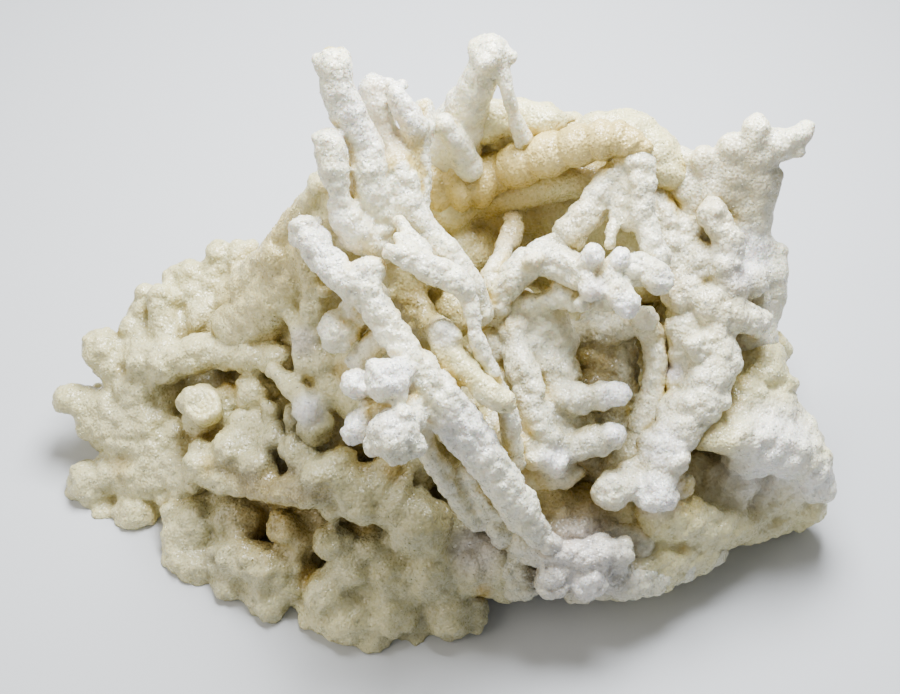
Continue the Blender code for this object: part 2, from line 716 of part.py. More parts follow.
def studs(bulk, count, seed):
    """Warts and stub fingers over the side of each bulk form that the front view hides."""
    dice = random.Random(seed)
    chains = []
    for x, y, z, *radii in bulk:
        centre = Vector((x, y, z)) - MIDDLE
        for step in range(count):
            height = 1 - 2 * (step + 0.5) / count
            turn = step * GOLDEN_TURN + dice.uniform(-0.3, 0.3)
            level = math.sqrt(1 - height * height)
            out = Vector((level * math.cos(turn), level * math.sin(turn), height))
            size = dice.uniform(*WART)
            length = dice.uniform(*STUB)
            if out.y < STUD_FACING:
                continue
            foot = centre + Vector([out[axis] * radii[axis] * STUD_DEPTH for axis in range(3)])
            if step % 3:
                chains.append([(foot, size)])
            else:
                lean = (out + Vector((0, 0, 0.5))).normalized()
                chain = [(foot, size), (foot + lean * length / 2, size * 0.7)]
                chains.append([*chain, (foot + lean * length, size * 0.75)])
    return chains


def limb_mesh(limbs):
    """Round limbs of changing thickness, as one curve with a spline for each limb."""
    curve = bpy.data.curves.new("limbs", "CURVE")
    curve.dimensions = "3D"
    curve.bevel_depth = MM
    curve.bevel_resolution = 2
    curve.resolution_u = 4
    curve.use_fill_caps = True
    for limb in limbs:
        spline = curve.splines.new("BEZIER")
        spline.bezier_points.add(len(limb) - 1)
        for knot, (place, radius) in zip(spline.bezier_points, limb):
            knot.co = place * MM
            knot.radius = radius
            knot.handle_left_type = "AUTO"
            knot.handle_right_type = "AUTO"
    holder = bpy.data.objects.new("limbs", curve)
    bpy.context.scene.collection.objects.link(holder)
    graph = bpy.context.evaluated_depsgraph_get()
    mesh = bpy.data.meshes.new_from_object(holder.evaluated_get(graph))
    bpy.data.objects.remove(holder)
    return mesh


def add_ball(shapes, centre, radii):
    """An ellipsoid, in millimetres."""
    matrix = Matrix.Translation(centre * MM) @ Matrix.Diagonal((*(radii * MM), 1))
    bmesh.ops.create_icosphere(shapes, subdivisions=3, radius=1, matrix=matrix)


def raw_shapes(chains, bulk):
    """Every limb, bead, lump and bulk form of one solid, still overlapping."""
    shapes = bmesh.new()
    limbs = [chain for chain in chains if len(chain) > 1]
    mesh = limb_mesh(limbs)
    shapes.from_mesh(mesh)
    bpy.data.meshes.remove(mesh)
    for chain in chains:
        swell = BEAD if len(chain) > 1 else 1
        for place, radius in chain:
            add_ball(shapes, place, Vector((radius, radius, radius)) * swell)
    for x, y, z, *radii in bulk:
        add_ball(shapes, Vector((x, y, z)) - MIDDLE, Vector(radii))
    return shapes


def evaluated_mesh(obj):
    graph = bpy.context.evaluated_depsgraph_get()
    return bpy.data.meshes.new_from_object(obj.evaluated_get(graph))


def settle(obj):
    """Replaces an object's mesh by what its modifiers make of it."""
    mesh = evaluated_mesh(obj)
    obj.modifiers.clear()
    old = obj.data
    obj.data = mesh
    bpy.data.meshes.remove(old)


def keep_largest(obj):
    """Drops the crumbs that a cut leaves beside the main body."""
    shapes = bmesh.new()
    shapes.from_mesh(obj.data)
    left = set(shapes.verts)
    bodies = []
    while left:
        front = [left.pop()]
        body = set(front)
        while front:
            for edge in front.pop().link_edges:
                fresh = {v for v in edge.verts if v in left}
                left -= fresh
                body |= fresh
                front += fresh
        bodies.append(body)
    bodies.sort(key=len)
    crumbs = [v for body in bodies[:-1] for v in body]
    bmesh.ops.delete(shapes, geom=crumbs, context="VERTS")
    shapes.to_mesh(obj.data)
    shapes.free()


def stone(name, colour):
    material = bpy.data.materials.new(name)
    material.use_nodes = True
    shader = material.node_tree.nodes["Principled BSDF"]
    shader.inputs["Base Color"].default_value = (*colour, 1)
    shader.inputs["Roughness"].default_value = 0.55
    shader.inputs["Metallic"].default_value = 0
    material.diffuse_color = (*colour, 1)
    return material


def collection_named(name):
    group = bpy.data.collections.new(name)
    bpy.context.scene.collection.children.link(group)
    return group


def cut(obj, cutter):
    """Takes a cutter away. EXACT leaves slivers of overlap where these many-sided surfaces nearly meet."""
    boolean = obj.modifiers.new("cut", "BOOLEAN")
    boolean.operation = "DIFFERENCE"
    boolean.object = cutter
    boolean.solver = "MANIFOLD"
    settle(obj)
    keep_largest(obj)


def box_of(obj):
    corners = [Vector(corner) for corner in obj.bound_box]
    low = Vector([min(corner[axis] for corner in corners) for axis in range(3)])
    high = Vector([max(corner[axis] for corner in corners) for axis in range(3)])
    return low, high


def boxes_meet(first, second):
    low_a, high_a = box_of(first)
    low_b, high_b = box_of(second)
    return all(low_a[axis] < high_b[axis] and low_b[axis] < high_a[axis] for axis in range(3))


def as_cutter(mesh, name, cutters):
    obj = bpy.data.objects.new(name, mesh)
    cutters.objects.link(obj)
    obj.hide_render = True
    obj.display_type = "WIRE"
    return obj


def crossing_faces(shapes):
    """Faces that run through another one. Each is shrunk a little, so that neighbours don't count."""
    places = []
    polygons = []
    for face in shapes.faces:
        middle = face.calc_center_median()
        polygons.append(list(range(len(places), len(places) + len(face.verts))))
        places += [corner.co.lerp(middle, FACE_SHRINK) for corner in face.verts]
    tree = BVHTree.FromPolygons(places, polygons)
    found = {index for pair in tree.overlap(tree) if pair[0] != pair[1] for index in pair}
    shapes.faces.ensure_lookup_table()
    return [shapes.faces[index] for index in sorted(found)]


def unfold(obj):
    """Smooths a surface where it folds through itself, until it no longer does."""
    shapes = bmesh.new()
    shapes.from_mesh(obj.data)
    for _ in range(RELAX_ROUNDS):
        faces = crossing_faces(shapes)
        if not faces:
            break
        corners = sorted({corner.index for face in faces for corner in face.verts})
        shapes.verts.ensure_lookup_table()
        corners = [shapes.verts[index] for index in corners]
        bmesh.ops.smooth_vert(
            shapes, verts=corners, factor=0.5, use_axis_x=True, use_axis_y=True, use_axis_z=True
        )
    shapes.to_mesh(obj.data)
    shapes.free()


def swollen(obj, cutters):
    """A copy of a solid that cuts its neighbours: larger by the gap, and by less in tight creases."""
    cutter = as_cutter(obj.data.copy(), "around_" + obj.name, cutters)
    shapes = bmesh.new()
    shapes.from_mesh(obj.data)
    starts = [(corner.co.copy(), corner.normal.copy()) for corner in shapes.verts]
    steps = [GAP * MM] * len(starts)
    for _ in range(SWELL_ROUNDS):
        for corner, (start, normal), step in zip(shapes.verts, starts, steps):
            corner.co = start + normal * step
        faces = crossing_faces(shapes)
        if not faces:
            break
        for index in {corner.index for face in faces for corner in face.verts}:
            steps[index] *= CREASE_SHARE
    shapes.to_mesh(cutter.data)
    shapes.free()
    return cutter


def ground_block(cutters):
    """All that lies below the flat cut."""
    shapes = bmesh.new()
    size = Vector((FLOOR_SIZE, FLOOR_SIZE, FLOOR_DEPTH)) * MM
    matrix = Matrix.Translation((0, 0, -size.z / 2)) @ Matrix.Diagonal((*size, 1))
    bmesh.ops.create_cube(shapes, size=1, matrix=matrix)
    mesh = bpy.data.meshes.new("ground")
    shapes.to_mesh(mesh)
    shapes.free()
    return as_cutter(mesh, "ground", cutters)


def facet(obj, ratio):
    """Thins a solid out to this share of its triangles."""
    facets = obj.modifiers.new("facets", "DECIMATE")
    facets.ratio = ratio
    settle(obj)
    unfold(obj)


def grown(name, colour, faces, roughness, group, chains, bulk=()):
    """One solid: its shapes fused, softened, roughened and cut down to a number of facets."""
    shapes = raw_shapes(chains, bulk)
    mesh = bpy.data.meshes.new(name)
    shapes.to_mesh(mesh)
    shapes.free()
    obj = bpy.data.objects.new(name, mesh)
    group.objects.link(obj)
    fuse = obj.modifiers.new("fuse", "REMESH")
    fuse.mode = "VOXEL"
    fuse.voxel_size = FUSE_SIZE * MM
    soften = obj.modifiers.new("soften", "SMOOTH")
    soften.factor = 0.5
    soften.iterations = SOFTEN_STEPS
    clouds = bpy.data.textures.new("lumps_of_" + name, "CLOUDS")
    clouds.noise_scale = LUMP_SPACING * MM
    clouds.noise_depth = 1
    rough = obj.modifiers.new("roughen", "DISPLACE")
    rough.texture = clouds
    rough.texture_coords = "LOCAL"
    rough.strength = roughness * MM
    rough.mid_level = 0.5
    settle(obj)
    keep_largest(obj)
    facet(obj, faces / (2 * len(obj.data.polygons)))
    obj.data.materials.append(stone(name, colour))
    return obj


def build():
    for obj in list(bpy.data.objects):
        bpy.data.objects.remove(obj)
    group = collection_named("aragonite")
    cutters = collection_named("cutters")
    solids = []
    for seed, (name, colour, faces, roughness, limbs, lumps, bulk, count) in enumerate(PARTS, 1):
        chains = seen(limbs, lumps) + studs(bulk, count, seed)
        solids.append(grown(name, colour, faces, roughness, group, chains, bulk))
    ground = ground_block(cutters)
    for solid in solids:
        cut(solid, ground)
    for index, solid in enumerate(solids):
        cutter = swollen(solid, cutters)
        for later in solids[index + 1 :]:
            if boxes_meet(later, cutter):
                cut(later, cutter)
                cut(later, solid)


build()
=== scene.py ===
"""Looks of the aragonite cluster: sugary crusts over the frame's solids, in soft light.

Shapes are read on a front view that looks down on the table: across, up and nearer, in
millimetres from the middle of the view, with a radius. world_point takes them to the frame.
"""

import math
import random

import bmesh
import bpy
import numpy as np
from mathutils import Matrix, Vector
from mathutils.bvhtree import BVHTree
from mathutils.kdtree import KDTree


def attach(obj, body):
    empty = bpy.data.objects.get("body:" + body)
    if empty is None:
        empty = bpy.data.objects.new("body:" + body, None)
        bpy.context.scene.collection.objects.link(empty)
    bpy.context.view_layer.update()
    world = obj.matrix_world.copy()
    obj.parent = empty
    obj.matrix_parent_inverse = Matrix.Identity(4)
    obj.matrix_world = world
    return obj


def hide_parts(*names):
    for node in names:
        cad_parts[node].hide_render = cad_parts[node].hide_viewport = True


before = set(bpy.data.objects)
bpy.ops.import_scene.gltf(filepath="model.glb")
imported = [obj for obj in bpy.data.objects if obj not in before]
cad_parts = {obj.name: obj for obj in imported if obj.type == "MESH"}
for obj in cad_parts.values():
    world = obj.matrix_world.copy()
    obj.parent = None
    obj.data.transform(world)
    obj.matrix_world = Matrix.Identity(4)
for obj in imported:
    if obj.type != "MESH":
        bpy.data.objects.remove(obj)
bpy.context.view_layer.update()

# Front view
MM = 0.001
VIEW_ANGLE = math.radians(55)
VIEW_DISTANCE = 250.0
VIEW_CENTRE_HEIGHT = 49.8
VIEW_RISE = Vector((0, math.sin(VIEW_ANGLE), math.cos(VIEW_ANGLE)))
VIEW_TOWARD = Vector((0, -math.cos(VIEW_ANGLE), math.sin(VIEW_ANGLE)))
# Middle of the specimen's box in the front view's own frame, moved onto the origin
MIDDLE = Vector((-2.56, 9.87, 0.0))

# Warts and stub fingers of the back: radius and length ranges, how far round they reach, how
# deep they stand, and every how many one is a stub finger that leans up
WART = (2.6, 4.6)
STUB = (4.0, 7.0)
STUD_FACING = 0.1
STUD_DEPTH = 0.9
STUD_SHIFT = 0.3
STUB_EVERY = 3
STUB_RISE = 0.5
STUB_WAIST = 0.7
STUB_TIP = 0.75
GOLDEN_TURN = math.pi * (3 - math.sqrt(5))

# Base: bulk ellipsoids as x, y, z and their three radii
BASE_BULK = (
    (-8, 6, 3, 40, 22, 17), (-12, 18, 10, 30, 20, 24), (14, 24, 10, 34, 19, 24),
    (38, 16, 6, 22, 22, 19), (-36, 8, 1, 18, 18, 15),
)
# Lumps of the front face, the lowest of them on the table
BASE_LUMPS = (
    # big rounded lobe in the middle of the front
    (-5.5, -29.5, -15, 5.8),
    # knobby terrace above the ridge
    (-41, -19, -26, 3.2), (-36.7, -17.2, -23.5, 3.4), (-31.7, -19.7, -20, 3.4),
    (-33, -15.6, -23, 2.6), (-29, -15, -20, 3.2), (-25, -17.6, -16, 3.5),
    (-21.7, -22.4, -12.5, 3.6), (-18.3, -19.7, -13.5, 3.6), (-15, -25.5, -13, 4.2),
    (-10, -21, -15, 4), (-19.4, -26, -15, 3.2), (-9.5, -27, -14, 4), (-3.5, -33, -16, 3.4),
    # terraces below it
    (-19.5, -32, -18, 3.3), (-13, -33.5, -19, 3.2), (-16, -36.5, -20, 4), (-10, -37.5, -20, 4.5),
    (-3, -38, -19, 4.8), (4, -37, -19, 4.6), (9, -35, -18, 5), (8, -39, -20, 3.4),
    (13, -36.5, -18, 4),
    # lowest lobe, on the table
    (-20, -41, -22, 4.2), (-17, -44.5, -24, 5.2), (-9.5, -43, -23, 5.6), (-6, -47.8, -26, 3.4),
    (-13, -46.8, -25, 4.4), (0, -44, -23, 5), (3, -44.6, -23.5, 3.6), (-22.5, -44.6, -24.5, 2.8),
    # columns beside the crevice
    (-28, -30, -21, 3.2), (-25, -32, -23, 3), (-26, -35, -24, 2.8),
    # front left lobe
    (-30.5, -42, -27, 3.8), (-26.5, -40.5, -25.5, 2.8), (-36, -39.4, -29, 3.4),
    (-42, -36.6, -32, 3.6), (-44.5, -34.6, -32, 3),
    # backs of the recesses
    (-35, -29, -31, 5), (-42, -29, -34, 5), (-22, -29, -27, 6), (-14, -29, -25, 5.5),
    (-24, -39, -29, 5), (1, -30, -22, 6), (-30, -14, -28, 7), (-18, -12, -24, 8),
    (-5, -16, -22, 8), (8, -22, -20, 8),
    # tan shelf on the right of the spar
    (17, -27, -20, 5.5), (23, -27.6, -20, 5), (29, -28, -21, 5), (14, -21, -18, 5),
    (30, -12, -27, 7),
)
BASE_LIMBS = (
    # long ridge along the front, with a white end knob
    ((-42, -20.5, -27, 2.6), (-37, -22, -24, 2.8), (-31, -23, -20, 2.7), (-26, -23.8, -16, 2.9),
     (-22, -23.6, -13, 3.5)),
    ((-22, -22, -12, 3.6), (-18, -22.4, -13, 3.8), (-14, -23.4, -14, 3.6), (-10, -25, -14, 4)),
    # pale block and upright plate of the front left lobe
    ((-38, -35.4, -28, 3), (-33.5, -35.8, -25.5, 3.6), (-30, -36.6, -24, 3.6)),
    ((-46.4, -27, -32, 2.1), (-46, -31, -32, 2.2), (-45.6, -34.6, -32.5, 2.6)),
)

LEFT_LUMPS = (
    (-37, -16.8, -31, 2.6), (-50.8, 8.6, -37, 2.3), (-53, 3, -37, 2.2), (-60.6, -13, -39, 2.3),
    (-59.5, -22.5, -41, 4.2), (-62, -25, -43, 2.7), (-57, -28.4, -42, 3.8), (-52, -27.5, -39, 4),
    (-47, -24.4, -35, 2.2), (-50, -12, -37, 5), (-46, -15, -36, 4), (-32, -8, -26, 4),
    (-34, -13, -30, 3.6), (-34, 8, -33, 5), (-34, -26, -36, 5), (-44, -24, -38, 5),
)
LEFT_LIMBS = (
    # fingers and slab along the top edge
    ((-34.6, 15.4, -33, 2.4), (-34, 11, -34, 4), (-33, 4, -36, 6)),
    ((-38.6, 15.6, -34, 2.5), (-39.5, 10.6, -36, 3.2), (-40, 5, -37, 5)),
    ((-43.4, 12.2, -35, 2.4), (-42.6, 8.4, -36, 2.8), (-41.6, 4, -37, 4)),
    ((-46, 11.2, -36, 2.2), (-45.2, 7.4, -37, 2.8), (-44, 3, -38, 4)),
    ((-50.8, 8.6, -37, 2.2), (-51, 4, -38, 3), (-50, -1, -38, 5)),
    # tan finger in front of the slab
    ((-47.8, 8, -33, 2.4), (-47.8, 4, -33.5, 2.4), (-47.4, 0, -34, 2.6)),
    # fingers of the left edge
    ((-58.2, 0, -37, 3.3), (-55, -3, -38, 4), (-50, -7, -40, 7)),
    ((-63.6, -8.9, -39, 2.4), (-60.4, -9.8, -39, 2.6), (-56, -10.5, -39, 4), (-52, -12, -40, 6)),
    ((-60.4, -12.8, -39, 2.3), (-56, -14, -39, 4), (-48, -17, -39, 6)),
    # thick knobby ridge
    ((-51, -2.4, -33, 3.3), (-47, -2.4, -31, 3.8), (-42.4, -1.4, -29, 3.2),
     (-37.6, -0.6, -27, 3.1), (-32.6, -1.4, -24, 2.9), (-28.6, -2.2, -20, 2.6)),
    # broken round finger with rings, and the finger beside it
    ((-41.4, -9.4, -26, 3.3), (-41, -11.6, -29, 3.3), (-39, -13, -33, 4)),
    ((-37.4, -8.6, -28, 2.4), (-36.4, -11.6, -29, 2.6), (-35.4, -16, -31, 3)),
    # slanting fingers of the foot
    ((-30, -10.6, -21, 1.8), (-29.4, -15, -22, 2), (-28.6, -19, -23, 2.3)),
    ((-26, -11, -18, 1.8), (-25.8, -15.4, -19, 2), (-22.8, -17, -18, 1.8)),
    ((-49, -18.4, -35, 2.6), (-45, -20, -33, 2.8), (-42, -22.4, -31, 2.2)),
    ((-56, -21, -41, 4), (-50, -21, -39, 5), (-44, -21, -37, 6)),
)
LEFT_BULK = (
    (-44, 18, 3, 19, 13, 14), (-60, 12, 1, 9, 10, 9), (-34, 28, 5, 15, 12, 18),
)

STEM_LUMPS = (
    (-10, 17, -8, 4.6), (-12, 10, -12, 6), (-4, 14, -10, 5), (-8, 3, -16, 7.5), (-15, 4, -16, 6),
    (0, 6, -14, 5), (-2, -4, -15, 6), (-10.5, 8.6, -2, 1.4), (-14, -8, -15, 5.5),
    (2, -11, -14, 6), (6, -12, -13, 4),
    # knobs on the left of the spar
    (-28.5, 15, -13, 3), (-26.4, 11.4, -12, 1.2), (-21, 9.4, -7, 1.3), (-21.6, -2, -15, 3.8),
    (-19, -7, -16, 4), (-15.6, -2.6, -13, 3.6), (-23.4, -10.4, -12, 2.5),
    (-22.4, -13.4, -14.5, 3.4), (-28, 6, -22, 4),
)
STEM_LIMBS = (
    # tan inner branches
    ((-11, 17, -3, 2.4), (-9, 13, -4, 2.3), (-7.4, 8, -5, 2.4), (-5.6, 3, -5, 2.3),
     (-3.4, -1, -5, 2.4)),
    ((-5.6, 10, -5, 1.6), (-4.6, 6.6, -4, 1.7), (-3.6, 3, -2, 2)),
    # small head with its tail, and the finger that springs from it
    ((-3.4, 4, -5, 2.2), (-2.2, 3, 0, 2.2), (-1, 2.4, 4, 2.3), (0, 1.6, 4.5, 1.8)),
    ((-1.8, 1, 3.6, 1.7), (-1, -3, 3.5, 1.4), (0.2, -6, 3, 1.4), (1.6, -9.4, 1.5, 1.4),
     (2.6, -13, -1, 1.6)),
    ((0.2, 0.4, 3.6, 1.6), (1.4, -2.2, 4, 2), (3.6, -4.6, 4.5, 2.4), (6.4, -7.4, 4.5, 2.3),
     (9, -9, 4.5, 2.1)),
    # buttress that runs down to the left cluster
    ((-21.5, 27, -3, 2.2), (-24, 23, -7, 2.4), (-27, 19, -12, 2.6), (-30, 14.5, -18, 3),
     (-33, 10, -24, 4)),
    ((-19, 24, -4, 2.6), (-22, 19, -9, 3), (-25, 14, -16, 3.4), (-28, 8, -22, 4)),
    ((-18, 22, -6, 3.4), (-23, 15, -12, 4.6), (-28.5, 8.5, -20, 5.4), (-34, 3, -28, 5.5)),
    ((-17, 19, -8, 3.4), (-19, 12, -13, 4.4), (-21, 4, -19, 5)),
    # upright finger left of the spar
    ((-24, 17.5, -6, 2.1), (-23.2, 12.4, -9, 2), (-22.4, 7.4, -11, 2.1), (-22.6, 3, -13, 2.4)),
    # pale finger, its white joint and the thin one below
    ((-31.4, 10.6, -19, 1.8), (-28.4, 7.6, -17, 1.8), (-25.4, 4.4, -15, 1.9),
     (-24.4, 1, -14, 2.2), (-24, -2.4, -14, 2.3)),
    ((-29, -3.8, -18, 1.7), (-26.6, -6.2, -15, 1.7), (-24.4, -8.6, -13, 1.9)),
)
STEM_BULK = (
    (-12, 24, 38, 12, 10, 16), (-20, 20, 26, 14, 13, 14),
)

PLUME_LIMBS = (
    # tallest finger
    ((-19.4, 46.6, 11, 3.1), (-18.6, 42.8, 10, 3), (-17.1, 39.5, 8.5, 3.1), (-15.4, 36.2, 7, 2.8),
     (-13.9, 32.8, 6, 2.9), (-13.4, 29.5, 5.5, 3.1), (-13, 26.2, 4.5, 3), (-11.8, 22.8, 2.5, 2.7),
     (-10.3, 19.5, 0, 2.6)),
    # second finger
    ((-12.8, 43, 3.5, 2.4), (-12.3, 40.5, 3, 2.3), (-11.2, 37.8, 2, 2), (-9.9, 34.5, 1.5, 1.9),
     (-8.6, 31.2, 2.6, 2.3), (-7.9, 27.8, 2.8, 2.7), (-7.3, 24.5, 2, 2.8)),
    # plate-like third finger
    ((-8.8, 42.2, 6, 1.7), (-8.1, 40.2, 5.5, 1.9), (-6.8, 38.4, 4.5, 2.2), (-5.8, 36.4, 3.5, 2.5),
     (-5.5, 34, 1.5, 2.3), (-5.2, 31.6, 1, 2), (-5, 29, 0.5, 2), (-4.8, 26.4, 0, 1.8),
     (-5.4, 24, 0, 2)),
    ((-4.2, 40, -1, 1.6), (-3.7, 37.6, -1, 1.6), (-4.4, 34.6, -0.5, 1.5)),
    # short finger in front with a waist
    ((-20.2, 33.8, 9.5, 2.5), (-19.9, 32.2, 9, 2.6), (-19.4, 29.8, 8.5, 2.7),
     (-18.9, 27.8, 8, 2.2), (-18.5, 26, 7.5, 1.7), (-18.2, 23.8, 6.5, 2.2),
     (-17.3, 21.5, 5.5, 2.9), (-15.7, 19.2, 4, 3.2), (-13.6, 17.8, 2.5, 2.9),
     (-11, 16.4, 0, 2.6)),
    # lower run that slants to the right
    ((-7.2, 23.2, 1.5, 2.7), (-5.3, 20.8, 1, 2.5), (-3.3, 18.5, 0.5, 2.4), (-1, 16.2, 0.5, 2.4),
     (1, 13.8, 0, 2.3), (3, 11, -1, 2.3), (5, 6, -4, 2.2)),
)
PLUME_LUMPS = (
    (-21.4, 47.7, 11.4, 1.5), (-19.8, 48.6, 11, 1.5), (-18, 48.4, 11, 1.6), (-10.2, 44, 4.5, 1),
    (-7.9, 43.6, 4.5, 1.1), (-22, 34.6, 9.8, 1.1), (-18.8, 35.2, 9.4, 1.2),
    (-11.6, 19.2, 3.4, 1.3), (-11.6, 16.8, 3, 1.2), (-14, 21, 4, 1.5), (-3.6, 36.4, 2, 1.4),
    (-16.6, 30, 0.5, 2.2), (-16, 26, 0.5, 2.7),
)

SPAR_LIMBS = (
    ((-24.3, 19.6, 5.5, 2.6), (-22.4, 17, 6, 2.8), (-20.4, 14.4, 6.5, 2.8), (-18.2, 11.8, 7, 2.7),
     (-15.8, 10.6, 7.5, 2.9), (-14.2, 9.2, 7.5, 2.9), (-12.3, 6.6, 7.5, 2.6),
     (-10.2, 3.6, 7.5, 2.5), (-8.2, 0.6, 7.5, 2.6), (-5, -4, 7, 3.2), (-2, -8.4, 6, 3.9),
     (1.6, -13, 4, 3.9), (5, -17.4, 2, 3.6), (8.2, -21.6, 0, 3.2), (11, -26, -3, 3.4),
     (14.2, -30.6, -6, 2.4), (17.4, -33.4, -9, 1.8)),
    # nodules and their short stalks
    ((-13, 8, 4, 2.8), (-16, 5.4, 2, 2.8), (-18.4, 2.8, 2, 3.5)),
    ((-10, 3, 4, 2.2), (-13, -0.4, 2, 2.3), (-15.4, -2.6, 0, 2)),
    ((-6, -3, 8, 1.9), (-10.4, -5.6, 12, 3.7)),
    ((-10, -6, 7, 1.5), (-13, -6.2, 6.5, 1.5), (-15.6, -6, 6.5, 2.6)),
    ((-5.5, -9.5, 7, 2.4), (-9.4, -14.8, 12, 4.2)),
    ((-9, -10.4, 6, 1.8), (-13, -10.6, 5, 2), (-15.8, -14, 6, 2.5)),
    # fingers on the underside
    ((-4.5, -12, 2, 2.4), (-3.8, -17, 0, 2), (-1, -21.4, -3, 1.9), (1.8, -25.6, -7, 1.9),
     (4.4, -28.6, -11, 2.2)),
    ((3.4, -21, -4, 2.2), (6.2, -26, -8, 2.2), (9, -31, -12, 2.4)),
)
SPAR_LUMPS = (
    (-22.6, 20.6, 4.5, 1.3), (-25.8, 18.2, 5, 1.3), (-12.2, -16.4, 12, 2), (-9, -18, 12, 2),
    (-5.9, -16.4, 11.5, 2.2), (-8.4, -11.8, 13, 2.4), (-12.4, -3.4, 12, 1.6), (-9, -8, 12.5, 1.8),
    (6.4, -15.4, 3, 1.8), (-14, 12.6, 7.6, 2.9), (-12.2, 13.2, 8, 1.7),
)

SLENDER_LIMBS = (
    ((-10.2, 15.8, 9.5, 1.3), (-8.6, 15.4, 9.5, 1.6), (-6.6, 14.8, 9, 2.1),
     (-4.4, 13.7, 8.5, 2.3), (-2, 12.5, 8, 2.5), (0.6, 11.3, 7.5, 2.6), (2.2, 9.6, 7, 2.1),
     (3.3, 6.8, 6.5, 1.4), (4.1, 4, 6, 1.35), (4.7, 1, 5.5, 1.45), (5.6, -1.6, 4.5, 1.4),
     (6.9, -4.4, 3, 1.5), (8.4, -7.6, 1, 1.6), (9.6, -11.2, -1, 1.7), (10.4, -15, -4, 1.8),
     (10.8, -19, -7, 2)),
    ((-8.4, 18.2, 8, 1.2), (-7, 16.4, 8.5, 1.6), (-5, 14.6, 8.5, 1.9)),
    ((-8.6, 21, 5.5, 1), (-6.6, 18.6, 6.5, 1.3), (-4.6, 16, 7, 1.6)),
)

SPIRE_LIMBS = (
    ((6.6, 49, 1, 3.2), (5.7, 46, -1, 2.9), (4.3, 43, -3, 3.1), (2.9, 40.2, -6, 3.7),
     (1.5, 37, -9, 4.4), (0.5, 32, -14, 5)),
    ((6.6, 49, 1, 2), (10, 48.5, 1, 1.3)),
    ((8.4, 46.4, 0.5, 1.4), (9.3, 43.6, 0, 1.15), (10, 41, -1.5, 1.2), (11, 38, -4, 1.4),
     (12.2, 34.8, -7, 1.7), (12.8, 31.5, -11, 2)),
    ((-1, 37, -2, 2), (0.6, 35, -3.5, 2.1), (1.8, 32.6, -6, 2.3), (3, 30, -9, 2.6)),
)
SPIRE_LUMPS = ((4.6, 50, 0.6, 1.6), (8.6, 50.2, 0.6, 1.5), (5.6, 47.4, 3, 1.8))

WALL_LIMBS = (
    # white mound with its pointed end
    ((5.5, 37.5, -11, 4), (8.5, 38, -10, 3.3), (12, 38, -10, 3.4), (15.5, 37.6, -10, 3),
     (18, 37.6, -10, 1.7), (20, 38.2, -10, 0.9)),
    # shelf under the arch
    ((6, 25, -18, 3.4), (10, 25.5, -16, 3.4), (15, 26.6, -14, 3.2), (20, 27.4, -12, 3),
     (26, 28, -11, 2.8)),
)
WALL_LUMPS = (
    (16.5, 34, -14, 4), (11, 33, -17, 6), (3, 31, -19, 6), (29, 34, -13, 6), (24.6, 36, -12, 3.6),
    (33.5, 32, -12, 4.8), (36.5, 29.6, -12, 4), (27, 27, -19, 7), (8, 24, -25, 7),
    (17, 24, -25, 7), (35, 22, -19, 6), (-1, 24, -18, 6), (33, 13, -23, 6), (2, 16, -22, 6),
    (10, 15, -29, 6), (20, 14, -30, 6),
)
WALL_BULK = (
    (4, 36, 32, 14, 9, 24), (18, 38, 36, 14, 8, 22), (32, 36, 32, 14, 9, 22),
)

ARCH_LIMBS = (
    ((1, 27, -22, 3.8), (5, 28, -17, 3.8), (9.2, 29.6, -12.5, 4), (14, 31.2, -9, 3.8),
     (19, 32.9, -6, 3.7), (23.6, 34.2, -3.8, 3.5), (27, 34.8, -2.4, 3.3), (29.4, 34.8, -1.6, 2.8),
     (31.2, 33, -1, 2.2)),
    # fat drums at its left
    ((-6, 26, -17, 4), (-3, 26.5, -14.6, 4.5), (0, 26.9, -13.4, 4.7), (3, 27.3, -13.2, 4.7),
     (6, 27.8, -14.4, 4.4)),
)
ARCH_LUMPS = ((30.2, 35, -0.5, 1.4), (32.6, 33.2, -0.5, 1.4), (28.4, 36, -1, 1.5))

CURTAIN_LIMBS = (
    ((31.6, 30.5, -1.5, 2.5), (32, 27.6, -1.5, 2.3), (31.8, 25, -1.5, 2.1),
     (31.8, 22.4, -1.5, 2.3), (32.6, 20, -1.5, 2.1), (33.6, 17.4, -1, 2.2),
     (34.9, 15.2, -0.5, 1.9)),
    ((28.8, 30.4, -4, 2.2), (26.8, 28.2, -5, 2.3), (24.8, 25, -5, 2.6), (22.4, 21.6, -5, 2.8),
     (20, 18.8, -4.5, 2.8)),
    ((30.4, 28.6, -3, 1.7), (28.6, 25, -3.5, 1.5), (27.6, 21.4, -3, 1.1), (26.6, 17.4, -2, 1.1)),
    ((30.5, 27, -3, 1.9), (30, 23.5, -3, 1.6), (29.6, 20.4, -3, 1.3)),
)

HANGING_LIMBS = (
    ((7.5, 7.6, -8, 2.8), (10, 11, -6, 2.7), (13, 13.6, -5, 2.9), (17, 14.6, -4, 3.1),
     (20, 13.4, -3, 2.9), (23, 11.6, -2, 2.9), (27, 11.2, -1.5, 2.6)),
    ((12, 14.6, -5, 1.6), (15.4, 16.6, -4, 1.4), (19, 18, -4, 1.8)),
    ((21.6, 13, -1, 2.2), (23, 14.2, 0.5, 1.8), (24, 15.2, 2, 1.8)),
    ((26.4, 12.4, -0.5, 1.7), (28.3, 14.7, 1.5, 1.7)),
    ((28, 11.8, -1.5, 2.4), (31.4, 12.8, 0, 2.7), (34.8, 11.4, 1, 2.6)),
    ((26.4, 11.4, 0, 2.2), (28, 9.2, 1.5, 2.4), (29.6, 7.2, 2.5, 2.2)),
    ((22.6, 11.4, 0, 2.1), (24, 9.4, 1.5, 2.1)),
)
HANGING_LUMPS = ((13.5, 14.4, -1.5, 1.7), (26.3, 8.2, 0, 1.7), (22, 7.4, -1.5, 1.5))

